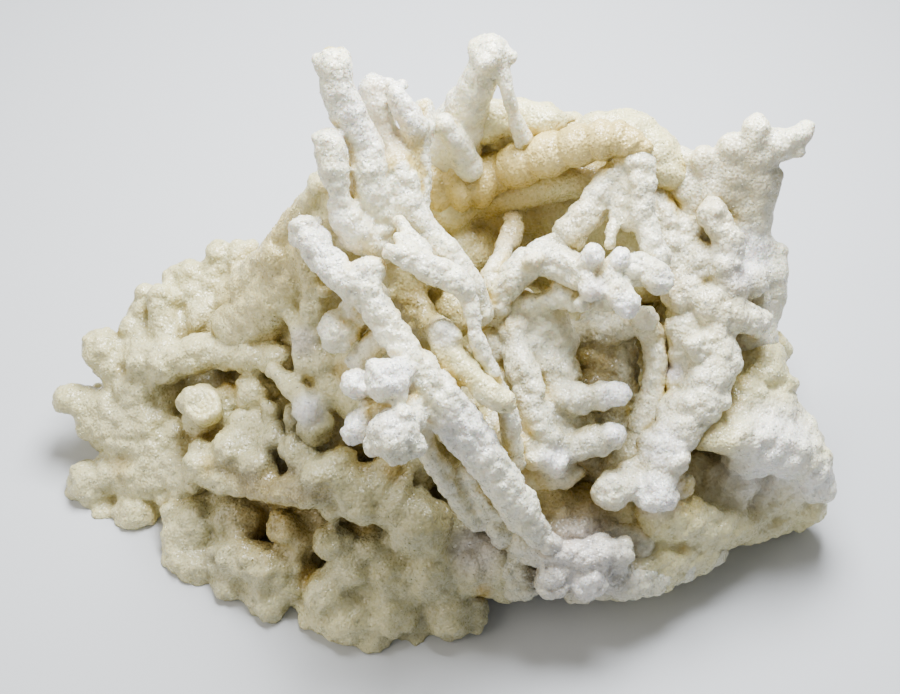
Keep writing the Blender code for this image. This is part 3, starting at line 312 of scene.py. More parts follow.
INNER_LUMPS = (
    (12, 5.6, -12, 4), (16, 4.4, -12, 4.2), (18, 1, -13, 3.6), (13.4, 0, -12, 3.8),
    (16.8, -3.4, -12.5, 4), (19, -4, -11.5, 3), (10.4, 2.8, -8.5, 2.3), (7.4, 5.2, -9, 1.7),
    (12.6, 5.4, -9, 1.7), (18, -11, -12, 4.2), (20, -14, -13, 4.5), (9.6, 8, -12, 3.2),
    (32.5, 4.6, -9, 2.3), (7, 0, -12, 3.4), (8, -6, -12, 3.4), (7.4, -13, -12, 3.6),
    (24, -2, -21, 5), (24, -8, -20, 5), (25, 3, -20, 4),
)
INNER_LIMBS = (
    # column behind, up to the underside of the arch
    ((11, 23, -17, 1.9), (10, 18.6, -13, 1.9), (8.4, 14.4, -9, 2), (7.2, 10.8, -7, 2.1),
     (8, 7.6, -9, 2.4)),
    # rough hanging fringe
    ((9.4, 8, -10, 2), (13, 7.4, -8, 1.9), (16.4, 7.8, -7, 1.8), (18.6, 8.4, -6.5, 2)),
    ((18.4, 9.4, -6, 2), (20.4, 8, -5, 2), (23, 7.8, -5, 1.9), (26.4, 7.8, -5, 1.8)),
    # thick finger that slants down
    ((11, 0.6, -9, 2.4), (12, -3.4, -7, 2.5), (13, -7.4, -6.5, 2.6), (14.4, -11.4, -7, 2.6),
     (15.8, -15, -8, 2.8)),
    # two stubs with white tips
    ((15.4, -8.6, -12, 2.8), (19, -8.8, -9, 2.7), (22.4, -8.6, -7.5, 2.7),
     (25.4, -8.2, -6.5, 2.7), (28, -7.8, -5.5, 2.3)),
    ((18, -17, -11, 3), (21.4, -16.4, -9, 2.7), (24.4, -15.6, -7.5, 2.8),
     (26.8, -14.6, -6.5, 2.5)),
    ((11.4, -16.2, -9, 2.7), (14.6, -18, -8, 2.7), (17.4, -19.2, -8.5, 2.4)),
    ((14, -21.4, -13, 2.6), (18.4, -21.8, -12, 2.3), (21.4, -21, -11, 1.4)),
    # long finger at the back and the smooth column beside it
    ((34, 1.4, -14, 2), (34.3, -2, -14, 2), (34, -5.4, -14, 2), (33, -8.8, -13.5, 2),
     (31.8, -12.2, -13, 2.1), (30.4, -16.4, -13, 2.3), (28, -19, -15, 3)),
    ((28.6, 1.4, -18, 2.4), (29, -4, -18, 2.6), (28.8, -10, -18, 2.6), (27, -16, -18, 3.4)),
    ((35.6, -8, -15, 1.3), (34.8, -12.4, -14, 1.4), (33, -17, -14, 1.8)),
    # tan branch behind
    ((20, 2, -19, 2.3), (24, 2, -17, 2.2), (28, 3, -15, 2.2), (31.4, 4.2, -12, 2.2),
     (34, 1.6, -14, 2.2)),
    # link that carries the back pieces
    ((20, -14, -18, 4), (25, -18, -20, 4), (30, -18, -18, 4)),
)

RIDGE_LIMBS = (
    ((44, 22, -8, 2.7), (46.3, 18.2, -8, 2.6), (45.8, 14, -9, 3), (46.4, 10, -10, 3.2),
     (45.4, 5, -10, 3.2), (44, 1, -10, 3.3), (44.8, -2.4, -10, 3.6), (43, -6, -10, 3.9),
     (41, -9.8, -10, 4), (38.4, -13.6, -10.5, 3.7), (36, -17.2, -10.5, 4), (35, -21, -10.5, 3.4),
     (34.4, -24.2, -10, 3.6)),
    ((33, -21, -12, 3.2), (29.6, -22.4, -10.5, 3), (27, -23.8, -9, 3.2)),
    ((35, -22.5, -13, 3), (38, -23, -15, 2.4)),
    # white slab between the dome and the ridge
    ((34, 26.4, -15, 3.4), (35.4, 22, -14, 3.8), (37, 17, -14, 3.7), (38.5, 12, -14, 3.6),
     (40, 6, -15, 4)),
    # ledge
    ((43.5, 7, -9, 3), (47.5, 5.4, -10, 3), (51, 4, -12, 2.6)),
)
RIDGE_LUMPS = (
    (41.4, 0.2, -8, 2.6), (45.8, -9, -8.5, 1.7), (50, 11, -12, 3.2), (40, -1, -14, 4),
    (40, 20, -14, 3.4), (38.6, -6, -15, 3.4), (33, -15.8, -11, 2.2), (37.6, -19, -8.5, 2.4),
    (39, 9, -12.5, 4), (39.4, 3, -13, 3.8), (37.6, -11, -13, 3.4), (42, 14, -12, 3.6),
)

WING_LIMBS = (
    ((38.6, 30.4, -12, 3), (39.8, 26, -13, 3.4), (41.5, 19, -17, 4), (43, 10, -21, 5)),
    ((42.4, 31.4, -9, 2.4), (43.6, 26, -12, 3.5), (45.5, 18, -17, 4.5), (46.5, 8, -21, 5)),
    ((46.6, 33.6, -7, 2.3), (47.4, 29, -10, 3.2), (48.6, 22, -14, 4), (49.5, 12, -18, 4.6),
     (49.5, 2, -21, 5)),
    ((51, 36.6, -5, 2.2), (50.6, 32, -8, 3), (51, 26, -11, 3), (50.6, 20, -15, 3.2),
     (52, 13, -17, 3.4)),
    ((59.6, 36.6, -5, 1.5), (57.4, 34.6, -5.5, 2.2), (54.6, 33.6, -6.5, 2.8), (51, 31, -9, 3.2)),
    ((58, 32.6, -6, 1.3), (55, 32.6, -7, 2)),
    ((53.8, 29, -9.5, 1.7), (52.6, 25.5, -12, 2.2), (51, 21, -15, 2.8)),
    ((55, 15.6, -16, 1.9), (54, 11.4, -17, 2.4), (53.4, 7.2, -19, 2.4), (51, 3, -21, 3.2)),
)
WING_BULK = ((50, 24, 24, 12, 11, 22),)

LOWER_LUMPS = (
    (51, -3, -20, 5), (54.4, -5.6, -20, 3), (54.6, -11, -21, 4.4), (48, -9, -18, 5),
    (52, -12, -20, 6), (56, -15.5, -23, 6), (50, -17, -19, 5), (57.5, -20, -26, 5),
    (46, -13, -16, 5), (51, -24, -30, 5.4), (56, -22.5, -29, 4.6), (57, -26.4, -32, 4),
    (46, -22, -27, 6), (46, -28, -28, 4.6), (40, -31, -25, 5), (60.4, -26.6, -31, 2.8),
    (56.2, -6, -21, 1.9),
)
LOWER_LIMBS = (
    # bright rim over the hollow underside
    ((43, -14, -12.5, 3.4), (48, -14.6, -13.5, 4), (52, -15.6, -15.5, 4.4), (56, -17, -18, 4.4),
     (59.6, -19.4, -21, 4), (60.8, -23, -24, 3.2)),
    ((35, -28, -17, 4.4), (40, -29, -20, 4.4), (46, -29.5, -25, 4), (52, -28.5, -30, 3.6),
     (58, -27.6, -33, 3)),
    ((22, -38, -19, 4.6), (28, -37, -20, 5), (34, -35.5, -21, 5), (40, -33.5, -24, 4.6)),
)
LOWER_BULK = ((52, 10, 8, 15, 16, 15), (46, -2, 8, 14, 12, 12))

KNOB_LIMBS = (
    ((13, -32.6, -12, 3.4), (18, -34.4, -10, 2.6), (21.6, -34.6, -10, 2.7),
     (25, -34.4, -10.5, 2.9), (28.6, -34, -12, 2.4)),
    ((18, -35.4, -11, 3), (17, -38.8, -11.5, 3)),
    ((23.4, -35.6, -12, 3), (23, -39.2, -11.5, 3)),
    ((22, -40.8, -12, 1.6), (22, -36, -14, 3)),
    ((11, -36, -16, 3.6), (12, -39, -17.5, 3.4)),
    ((26, -36, -15, 3.6), (28.6, -38.6, -17, 3.4), (33, -37.6, -19, 3.6), (38, -35.6, -22, 3.4),
     (43, -34, -25, 3)),
    ((14, -30, -18, 4), (22, -31, -18, 4), (31, -32, -19, 4)),
)

# Stone colours, with painted shade and painted highlight among them
CREAM = (0.78, 0.73, 0.42, 1)
CREAM_DEEP = (0.66, 0.60, 0.26, 1)
WHITE = (0.87, 0.85, 0.68, 1)
WHITE_DEEP = (0.81, 0.76, 0.48, 1)
TAN = (0.70, 0.56, 0.22, 1)
TAN_DEEP = (0.55, 0.41, 0.11, 1)
# Ochre of the recesses: partly stains, partly painted shade
OCHRE_AND_RECESS_SHADE = (0.60, 0.46, 0.13, 1)
# Brown of stains, and painted shade in pits and holes
STAIN_AND_PIT_SHADE = (0.40, 0.26, 0.03, 1)
# Greyish violet: partly the stone's own tint, partly painted shade in bluish reflected light
VIOLET_TINT_AND_SHADE = (0.60, 0.56, 0.62, 1)
# Painted shade
PAINTED_SHADE = (0.21, 0.20, 0.125, 1)
# Near white: partly whiter crystal, partly painted highlight
FROST_AND_HIGHLIGHT = (0.90, 0.90, 0.88, 1)

# Light and deep colour of each stone, and how much of its light spreads inside it
# White on the branches and cream on the big masses, the stem and the back wall: partly their own
# tints, the white partly painted light and the cream partly painted shade
STONES = {
    "aragonite_cream": (CREAM, CREAM_DEEP, 0.35),
    "aragonite_white": (WHITE, WHITE_DEEP, 0.45),
    "aragonite_tan": (TAN, TAN_DEEP, 0.15),
}
STONE_IOR = 1.6
GLOW_COLOUR = (1.0, 0.72, 0.42)
GLOW_DEPTH = 1.2
DEEP_SHARE = 0.55

# Noise patterns: size in millimetres, detail, roughness, the range read and what it becomes
BLOTCHES = (9.0, 4, 0.55, 0.35, 0.7, 0.0, 1.0)
UNEVEN = (3.0, 4, 0.55, 0.3, 0.7, 0.6, 1.1)
MOTTLE = (0.9, 3, 0.7, 0.3, 0.75, 0.93, 1.03)
SHEEN = (0.7, 2, 0.55, 0.3, 0.7, 0.14, 0.42)
# How openness becomes a share of ochre, partly stained stone and partly painted shade in the
# recesses, and how much it lets the painted shade show
RECESS_STAIN_AND_SHADE = (0.12, 0.8, 1.0, 0.0)
SHADED = (0.35, 0.9, 1.0, 0.62)
# Crystal grain of the surface, in millimetres
GRAIN_CELLS = 0.6
GRAIN_DEPTH = -0.15
FACET_CELLS = 0.3
FACET_TILT = 0.52

# Pure white spots, partly whiter crystal and partly painted highlight on lit tips, tops and rims:
# across, up, nearer, radius and strength, as for all spots
FROST_AND_HIGHLIGHT_SPOTS = (
    (28, -7.8, -5.5, 3, 1), (27.6, -14.2, -6.5, 2, 1), (17.4, -19.2, -8.5, 3, 0.9),
    (24, 15.2, 2, 2, 0.9), (28.3, 14.8, 1.5, 2, 0.9), (36, 11, 1, 2, 0.5),
    (29.6, 6.5, 2.5, 2.6, 0.9), (-10, -5, 10, 4, 1), (-9.5, -13.5, 10.5, 3.6, 0.6),
    (-15.4, -6.4, 6, 2.8, 0.9), (-16, -13.6, 5, 2.8, 0.9), (-1, 2.4, 4, 2.6, 0.8),
    (34.5, -24.5, -10, 4, 0.9), (23, -39.2, -11.5, 2.6, 0.5), (-23.5, -10.5, -12, 2.8, 1),
    (36, -17, -10, 4, 0.7), (3, -14, 4, 6, 0.6), (-20, 16, 6, 6, 0.5), (-12, 40, 8, 8, 0.6),
    (49, 15.5, -15, 5, 0.9), (54, -17, -18, 8, 0.9), (61, -22, -23, 5, 0.9),
)
# Ochre stains, and painted shade in pits, holes and crevices
STAIN_AND_PIT_SHADE_SPOTS = (
    (-28, -27.5, -24, 9, 0.5), (-14.5, -29, -22, 3, 0.7), (-9.5, -20.5, -16, 2.6, 0.9),
    (-15, -18, -17, 5, 0.5), (-23, -38.5, -26, 2.6, 0.8), (5.5, -40.5, -20, 1.6, 0.9),
    (-36.5, -6, -30, 2.4, 0.7), (-40, -15, -32, 4, 0.5), (-54.5, -20, -40, 2.6, 0.6),
    (-32, 8, -26, 8, 0.35), (-26, 22, -12, 5, 0.5), (-18, -4, -12, 2, 0.6), (-6, 6, -6, 5, 0.4),
    (10, 22, -18, 9, 0.6), (46, 27, -11, 11, 0.2), (28, 27, -14, 8, 0.25), (21, 21, -5, 6, 0.25),
    (30, 26, -2, 5, 0.12), (44, 10, -9, 8, 0.15), (36, -17, -10, 8, 0.1), (-27, 17, -14, 9, 0.45),
    (12, 20, -20, 2.4, 0.6), (24, -3, -16, 4, 0.6), (22.5, -22.5, -14, 1.6, 0.7),
    (19.5, -33, -12, 1.4, 0.6), (21, -27.5, -18, 6, 0.45), (38, 10, -14, 4, 0.4),
    (13.3, 14, -3, 1.6, 0.4),
)
# Painted shade that greys and darkens the stone, mostly low down and in the hollows
PAINTED_SHADE_SPOTS = (
    (-12, -30, -18, 20, 0.8), (5, -44, -24, 22, 0.9), (-34, -34, -26, 15, 0.85),
    (-28, -21, -18, 13, 0.92), (-50, -8, -36, 22, 0.55), (-60, -18, -40, 13, 0.62),
    (-38, 12, -33, 13, 0.4), (-26, -4, -18, 10, 0.4), (-12, 6, -12, 12, 0.45),
    (-4, -10, -14, 12, 0.5), (22, -38, -14, 13, 0.75), (45, -32, -28, 12, 0.45),
    (24, -4, -18, 9, 0.6), (12, 20, -20, 10, 0.5), (24, -14, -9, 9, 0.6), (12, -4, -8, 8, 0.3),
    (44, -3, -10, 8, 0.3), (32, 15, -5, 9, 0.3), (-9, -14.5, 12, 4, 0.6), (-24, 8, -12, 9, 0.35),
    (36, -18, -11, 9, 0.35), (45, 12, -9, 10, 0.45), (51, 27, -9, 9, 0.45), (30, 25, -3, 6, 0.5),
    (-9.7, -16, 11, 5, 0.4), (20, 19.5, -6, 5, 0.6), (24, 34, -4, 10, 0.3),
)
# Faint greyish violet: partly the stone's own tint, partly painted shade that takes bluish
# reflected light
VIOLET_TINT_AND_SHADE_SPOTS = (
    (24, 9.5, 0, 2.4, 0.6), (48, 11.5, -12, 3, 0.6), (37.5, -4, -14, 1.6, 0.7),
    (-24.5, 1, -14, 2.6, 0.5), (5, -34, -18, 5, 0.45), (22, -36, -12, 9, 0.5),
    (50, -20, -26, 8, 0.4),
)
SPOTS = {"frost_and_highlight": FROST_AND_HIGHLIGHT_SPOTS, "stain_and_pit_shade": STAIN_AND_PIT_SHADE_SPOTS, "violet_tint_and_shade": VIOLET_TINT_AND_SHADE_SPOTS, "painted_shade": PAINTED_SHADE_SPOTS}
# Added to a spot's radius along the line of sight
SPOT_DEPTH = 4.0

# Broken finger end: its middle, the finger's root, its profile as radius and height, and how
# stained each ring is
RING_PLACE = (-41.4, -9.4, -22.6)
RING_ROOT = (-39.6, -12.4, -30)
RING_STEPS = 48
RING_PROFILE = (
    (0.25, 0.1), (0.8, 0.12), (1.0, -0.12), (1.2, 0.1), (1.9, 0.15), (2.1, -0.1), (2.3, 0.12),
    (2.8, 0.1), (3.2, -0.12), (3.45, -0.6), (3.4, -3.0),
)
RING_STAIN = (0.1, 0.05, 0.4, 0.05, 0.0, 0.35, 0.0, 0.0, 0.05, 0.1, 0.2)
RING_SEED = 7
RING_OPEN = 0.8
# Its unevenness: waves around the ring, and their share of the radius or their height
RING_OVAL = (2, 0.04)
RING_LOBES = (5, 0.03)
RING_ROUGH = (9, 0.06)
RING_TWIST = 3

# Half sizes of the surface crystals in millimetres
CRYSTALS = {
    "aragonite_cream": (0.15, 0.32),
    "aragonite_white": (0.12, 0.24),
    "aragonite_tan": (0.1, 0.2),
}
CRYSTAL_CORNERS = ((1, 0, 0), (-1, 0, 0), (0, 1, 0), (0, -1, 0), (0, 0, 1), (0, 0, -1))
CRYSTAL_SIDES = (
    (4, 0, 2), (4, 2, 1), (4, 1, 3), (4, 3, 0), (5, 2, 0), (5, 1, 2), (5, 3, 1), (5, 0, 3),
)
CRYSTAL_STRETCH = (0.7, 1.3)
CRYSTAL_SUNK = 0.25
# Openness from which crystals grow, how fast they gather above it, and the metres above the
# cut that stay free of them
CRYSTAL_FROM = 0.12
CRYSTAL_GATHER = 6
CRYSTAL_CLEAR = 0.0004

# Name, stone, grid, lump, knob and wart heights in millimetres, crystals per square millimetre,
# then limbs, lumps, bulk and how many studs it has
PARTS = (
    ("base_mass", "aragonite_cream", 0.74, 2.0, 1.0, 0.6, 0.35,
     BASE_LIMBS, BASE_LUMPS, BASE_BULK, 40),
    ("left_cluster", "aragonite_cream", 0.56, 1.4, 1.0, 0.5, 0.35,
     LEFT_LIMBS, LEFT_LUMPS, LEFT_BULK, 30),
    ("lower_right", "aragonite_cream", 0.62, 1.6, 1.0, 0.5, 0.35,
     LOWER_LIMBS, LOWER_LUMPS, LOWER_BULK, 24),
    ("back_wall", "aragonite_cream", 0.8, 1.2, 0.6, 0.25, 0.25,
     WALL_LIMBS, WALL_LUMPS, WALL_BULK, 50),
    ("stem", "aragonite_cream", 0.55, 0.9, 0.9, 0.4, 0.5,
     STEM_LIMBS, STEM_LUMPS, STEM_BULK, 36),
    ("right_wing", "aragonite_white", 0.56, 0.9, 0.6, 0.3, 0.4, WING_LIMBS, (), WING_BULK, 40),
    ("right_ridge", "aragonite_white", 0.46, 0.9, 1.1, 0.45, 0.9,
     RIDGE_LIMBS, RIDGE_LUMPS, (), 0),
    ("inner_fingers", "aragonite_white", 0.46, 0.8, 0.9, 0.45, 0.8,
     INNER_LIMBS, INNER_LUMPS, (), 0),
    ("front_knobs", "aragonite_white", 0.44, 0.8, 1.3, 0.5, 1.0, KNOB_LIMBS, (), (), 0),
    ("front_spar", "aragonite_white", 0.38, 0.8, 1.0, 0.5, 1.3, SPAR_LIMBS, SPAR_LUMPS, (), 0),
    ("plume", "aragonite_white", 0.38, 0.5, 0.5, 0.35, 1.2, PLUME_LIMBS, PLUME_LUMPS, (), 0),
    ("slender_branch", "aragonite_white", 0.33, 0.5, 0.7, 0.4, 1.3, SLENDER_LIMBS, (), (), 0),
    ("rear_spire", "aragonite_white", 0.44, 0.5, 0.35, 0.22, 0.8,
     SPIRE_LIMBS, SPIRE_LUMPS, (), 0),
    ("arch_branch", "aragonite_tan", 0.38, 0.3, 0.12, 0.12, 0.8, ARCH_LIMBS, ARCH_LUMPS, (), 0),
    ("hanging_fingers", "aragonite_white", 0.36, 0.6, 0.9, 0.45, 1.3,
     HANGING_LIMBS, HANGING_LUMPS, (), 0),
    ("curtain", "aragonite_white", 0.36, 0.5, 0.8, 0.4, 1.2, CURTAIN_LIMBS, (), (), 0),
)

# Making of the crusts: how round the raw forms are, and how much a limb swells at its places
LIMB_ROUNDNESS = 4
LIMB_STEPS = 6
BALL_STEPS = 3
BEAD = 1.04
SOFTEN = 0.5
SOFTEN_STEPS = 2
GROUND_DEPTH = 60.0
# Layers that push the surface in and out: their spacing, and the height of the finest, in
# millimetres. The bends are a share of the lumps' height.
LUMP_SPACING = 7.0
BEND_SPACING = 3.6
KNOB_SPACING = 3.0
WART_SPACING = 1.5
GRAIN_SPACING = 0.7
GRAIN = 0.12
BENDS = 0.8
CELL_LEVEL = 0.3

# Jointed branches: how many of a part's limbs are drums on a slimmer core, and their profile
DRUMMED_LIMBS = {"arch_branch": 2}
DRUM_CORE = 0.74
DRUM_SIDES = 28
DRUM_PROFILE = ((0, 0.76), (0.09, 0.93), (0.5, 1.05), (0.91, 0.93), (1, 0.76))

# Openness: how much of the space within reach, in metres, a place sees
OPEN_REACH = 0.014
OPEN_START = 0.0012
OPEN_RAYS = 40
OPEN_LEAST_SLANT = 0.05
OPEN_SPACING = 14
OPEN_NEIGHBOURS = 3

FLOOR_SIZE = 2400.0
FLOOR_DROP = -0.05
FLOOR_CORNERS = ((-1, -1), (1, -1), (1, 1), (-1, 1))
FLOOR_COLOUR = (0.5, 0.52, 0.55, 1)
FLOOR_ROUGHNESS = 0.7
CAMERA_LENS = 60
CAMERA_SENSOR = 36
CAMERA_CLIP = (0.01, 10)
# Soft square lights: place and size in millimetres, power and colour
LIGHTS = {
    "window": ((25, 100, 250), 130, 3.1, (0.97, 0.985, 1.0)),
    "fill": ((-420, -120, 300), 400, 1.8, (1.0, 0.93, 0.8)),
}
LIGHT_AIM = (0, 0, 30)
SKY_COLOUR = (1.0, 0.98, 0.95, 1)
SKY_STRENGTH = 0.3


def world_point(across, up, nearer):
    """A place on the front view in the frame, in millimetres."""
    spread = (VIEW_DISTANCE - nearer) / VIEW_DISTANCE
    point = Vector((across * spread, 0, VIEW_CENTRE_HEIGHT))
    return point + VIEW_RISE * (up * spread) + VIEW_TOWARD * nearer - MIDDLE


def seen_radius(radius, nearer):
    return radius * (VIEW_DISTANCE - nearer) / VIEW_DISTANCE


def seen(limbs, lumps):
    """Limbs and lumps of the front view as chains of places with their radii."""
    chains = []
    for places in [*limbs, *([lump] for lump in lumps)]:
        chains.append([(world_point(a, u, n), seen_radius(r, n)) for a, u, n, r in places])
    return chains


def front_view(points):
    """World points in millimetres as across, up and nearer on the front view."""
    rel = points + np.array(MIDDLE) - np.array((0, 0, VIEW_CENTRE_HEIGHT))
    nearer = rel @ np.array(VIEW_TOWARD)
    spread = (VIEW_DISTANCE - nearer) / VIEW_DISTANCE
    return np.stack([rel[:, 0] / spread, rel @ np.array(VIEW_RISE) / spread, nearer], axis=1)


def way_out(step, count, shift=0.0):
    """One of count directions that are spread over the whole sphere."""
    height = 1 - 2 * (step + 0.5) / count
    turn = step * GOLDEN_TURN + shift
    level = math.sqrt(1 - height * height)
    return Vector((level * math.cos(turn), level * math.sin(turn), height))


def studs(bulk, count, seed):
    """Warts and stub fingers over the side of each bulk form that the front view hides."""
    dice = random.Random(seed)
    chains = []
    for x, y, z, *radii in bulk:
        centre = Vector((x, y, z)) - MIDDLE
        for step in range(count):
            out = way_out(step, count, dice.uniform(-STUD_SHIFT, STUD_SHIFT))
            size = dice.uniform(*WART)
            length = dice.uniform(*STUB)
            if out.y < STUD_FACING:
                continue
            foot = centre + Vector([out[axis] * radii[axis] * STUD_DEPTH for axis in range(3)])
            if step % STUB_EVERY:
                chains.append([(foot, size)])
            else:
                lean = (out + Vector((0, 0, STUB_RISE))).normalized()
                chain = [(foot, size), (foot + lean * length / 2, size * STUB_WAIST)]
                chains.append([*chain, (foot + lean * length, size * STUB_TIP)])
    return chains


def add_object(name, data):
    obj = bpy.data.objects.new(name, data)
    bpy.context.scene.collection.objects.link(obj)
    return obj


def add_shapes(name, shapes):
    """A new object that takes over the shapes of a bmesh."""
    mesh = bpy.data.meshes.new(name)
    shapes.to_mesh(mesh)
    shapes.free()
    return add_object(name, mesh)


def settled_mesh(obj):
    """A new mesh of what an object's curve or modifiers make."""
    graph = bpy.context.evaluated_depsgraph_get()
    return bpy.data.meshes.new_from_object(obj.evaluated_get(graph))


def settle(obj):
    """Replaces an object's mesh by what its modifiers make of it."""
    mesh = settled_mesh(obj)
    obj.modifiers.clear()
    old = obj.data
    obj.data = mesh
    bpy.data.meshes.remove(old)


def limb_mesh(limbs):
    """Round limbs of changing thickness, as one curve with a spline for each limb."""
    curve = bpy.data.curves.new("limbs", "CURVE")
    curve.dimensions = "3D"
    curve.bevel_depth = MM
    curve.bevel_resolution = LIMB_ROUNDNESS
    curve.resolution_u = LIMB_STEPS
    curve.use_fill_caps = True
    for limb in limbs:
        spline = curve.splines.new("BEZIER")
        spline.bezier_points.add(len(limb) - 1)
        for knot, (place, radius) in zip(spline.bezier_points, limb):
            knot.co = place * MM
            knot.radius = radius
            knot.handle_left_type = "AUTO"
            knot.handle_right_type = "AUTO"
    holder = add_object("limbs", curve)
    mesh = settled_mesh(holder)
    bpy.data.objects.remove(holder)
    return mesh


def add_ball(shapes, centre, radii):
    """An ellipsoid, in millimetres."""
    matrix = Matrix.Translation(centre * MM) @ Matrix.Diagonal((*(radii * MM), 1))
    bmesh.ops.create_icosphere(shapes, subdivisions=BALL_STEPS, radius=1, matrix=matrix)


def add_drums(shapes, limb):
    """Short rounded drums along a jointed branch, one between each two of its places."""
    for (place, radius), (after, radius_after) in zip(limb, limb[1:]):
        along = after - place
        turn = along.to_track_quat("Z", "Y").to_matrix().to_4x4()
        size = (radius + radius_after) / 2 * MM
        for (share, swell), (next_share, next_swell) in zip(DRUM_PROFILE, DRUM_PROFILE[1:]):
            middle = place.lerp(after, (share + next_share) / 2)
            bmesh.ops.create_cone(
                shapes,
                cap_ends=True,
                segments=DRUM_SIDES,
                radius1=size * swell,
                radius2=size * next_swell,
                depth=along.length * (next_share - share) * MM,
                matrix=Matrix.Translation(middle * MM) @ turn,
            )


def raw_shapes(chains, bulk):
    """Every limb, bead, lump and bulk form of one piece, still overlapping."""
    shapes = bmesh.new()
    mesh = limb_mesh([chain for chain in chains if len(chain) > 1])
    shapes.from_mesh(mesh)
    bpy.data.meshes.remove(mesh)
    for chain in chains:
        swell = BEAD if len(chain) > 1 else 1
        for place, radius in chain:
            add_ball(shapes, place, Vector((radius, radius, radius)) * swell)
    for x, y, z, *radii in bulk:
        add_ball(shapes, Vector((x, y, z)) - MIDDLE, Vector(radii))
    return shapes


def ground_block():
    """All that lies below the flat cut."""
    shapes = bmesh.new()
    size = Vector((FLOOR_SIZE, FLOOR_SIZE, GROUND_DEPTH)) * MM
    matrix = Matrix.Translation((0, 0, -size.z / 2)) @ Matrix.Diagonal((*size, 1))
    bmesh.ops.create_cube(shapes, size=1, matrix=matrix)
    return add_shapes("ground", shapes)


def displaced(obj, name, kind, spacing, strength, level=0.5):
    """Pushes the surface in and out by a texture. Spacing and strength are in millimetres."""
    texture = bpy.data.textures.new(name + "_of_" + obj.name, kind)
    texture.noise_scale = spacing * MM
    if kind == "VORONOI":
        texture.distance_metric = "DISTANCE_SQUARED"
    else:
        texture.noise_depth = 1
    modifier = obj.modifiers.new(name, "DISPLACE")
    modifier.texture = texture
    modifier.texture_coords = "LOCAL"
    modifier.strength = strength * MM
    modifier.mid_level = level


def crust(name, grid, roughness, knobs, warts, limbs, lumps, bulk, count, seed, ground):
    """The crusted surface of one main branch or mass, before its crystals."""
    chains = seen(limbs, lumps) + studs(bulk, count, seed)
    drummed = chains[:DRUMMED_LIMBS.get(name, 0)]
    cores = [[(place, radius * DRUM_CORE) for place, radius in chain] for chain in drummed]
    shapes = raw_shapes(cores + chains[len(drummed):], bulk)
    for chain in drummed:
        add_drums(shapes, chain)
    obj = add_shapes(name + "_crust", shapes)
    fuse = obj.modifiers.new("fuse", "REMESH")
    fuse.mode = "VOXEL"
    fuse.voxel_size = grid * MM * 1
    soften = obj.modifiers.new("soften", "SMOOTH")
    soften.factor = SOFTEN
    soften.iterations = SOFTEN_STEPS
    displaced(obj, "lumps", "CLOUDS", LUMP_SPACING, roughness)
    displaced(obj, "bends", "CLOUDS", BEND_SPACING, BENDS * roughness)
    displaced(obj, "knobs", "VORONOI", KNOB_SPACING, -knobs, CELL_LEVEL)
    displaced(obj, "warts", "VORONOI", WART_SPACING, -warts, CELL_LEVEL)
    displaced(obj, "grain", "CLOUDS", GRAIN_SPACING, GRAIN)
    settle(obj)
    if min(corner[2] for corner in obj.bound_box) < 0:
        cut = obj.modifiers.new("cut", "BOOLEAN")
        cut.operation = "DIFFERENCE"
        cut.solver = "MANIFOLD"
        cut.object = ground
        settle(obj)
    obj.data.materials.clear()
    return obj


def read(items, key, width, kind=np.float32):
    """One value of every item of a mesh as an array."""
    values = np.empty(len(items) * width, kind)
    items.foreach_get(key, values)
    return values.reshape(-1, width) if width > 1 else values


def turned(count, dice):
    """Random rotation matrices."""
    x, y, z, w = dice.normal(size=(4, count)) + 1e-9
    size = np.sqrt(x * x + y * y + z * z + w * w)
    x, y, z, w = x / size, y / size, z / size, w / size
    rows = [
        [1 - 2 * (y * y + z * z), 2 * (x * y - z * w), 2 * (x * z + y * w)],
        [2 * (x * y + z * w), 1 - 2 * (x * x + z * z), 2 * (y * z - x * w)],
        [2 * (x * z - y * w), 2 * (y * z + x * w), 1 - 2 * (x * x + y * y)],
    ]
    return np.moveaxis(np.array(rows), 2, 0)


def joined_mesh(name, corners, loops, starts, points, triangles):
    """The smooth faces of a crust with flat loose triangles beside them."""
    mesh = bpy.data.meshes.new(name)
    mesh.vertices.add(len(corners) + len(points))
    places = np.concatenate([corners, points]).ravel().astype(np.float32)
    mesh.vertices.foreach_set("co", places)
    mesh.loops.add(len(loops) + triangles.size)
    indices = np.concatenate([loops, triangles.ravel()]).astype(np.int32)
    mesh.loops.foreach_set("vertex_index", indices)
    mesh.polygons.add(len(starts) + len(triangles))
    added = len(loops) + 3 * np.arange(len(triangles))
    mesh.polygons.foreach_set("loop_start", np.concatenate([starts, added]).astype(np.int32))
    smooth = np.arange(len(starts) + len(triangles)) < len(starts)
    mesh.polygons.foreach_set("use_smooth", smooth)
    mesh.update(calc_edges=True)
    mesh.validate()
    return mesh


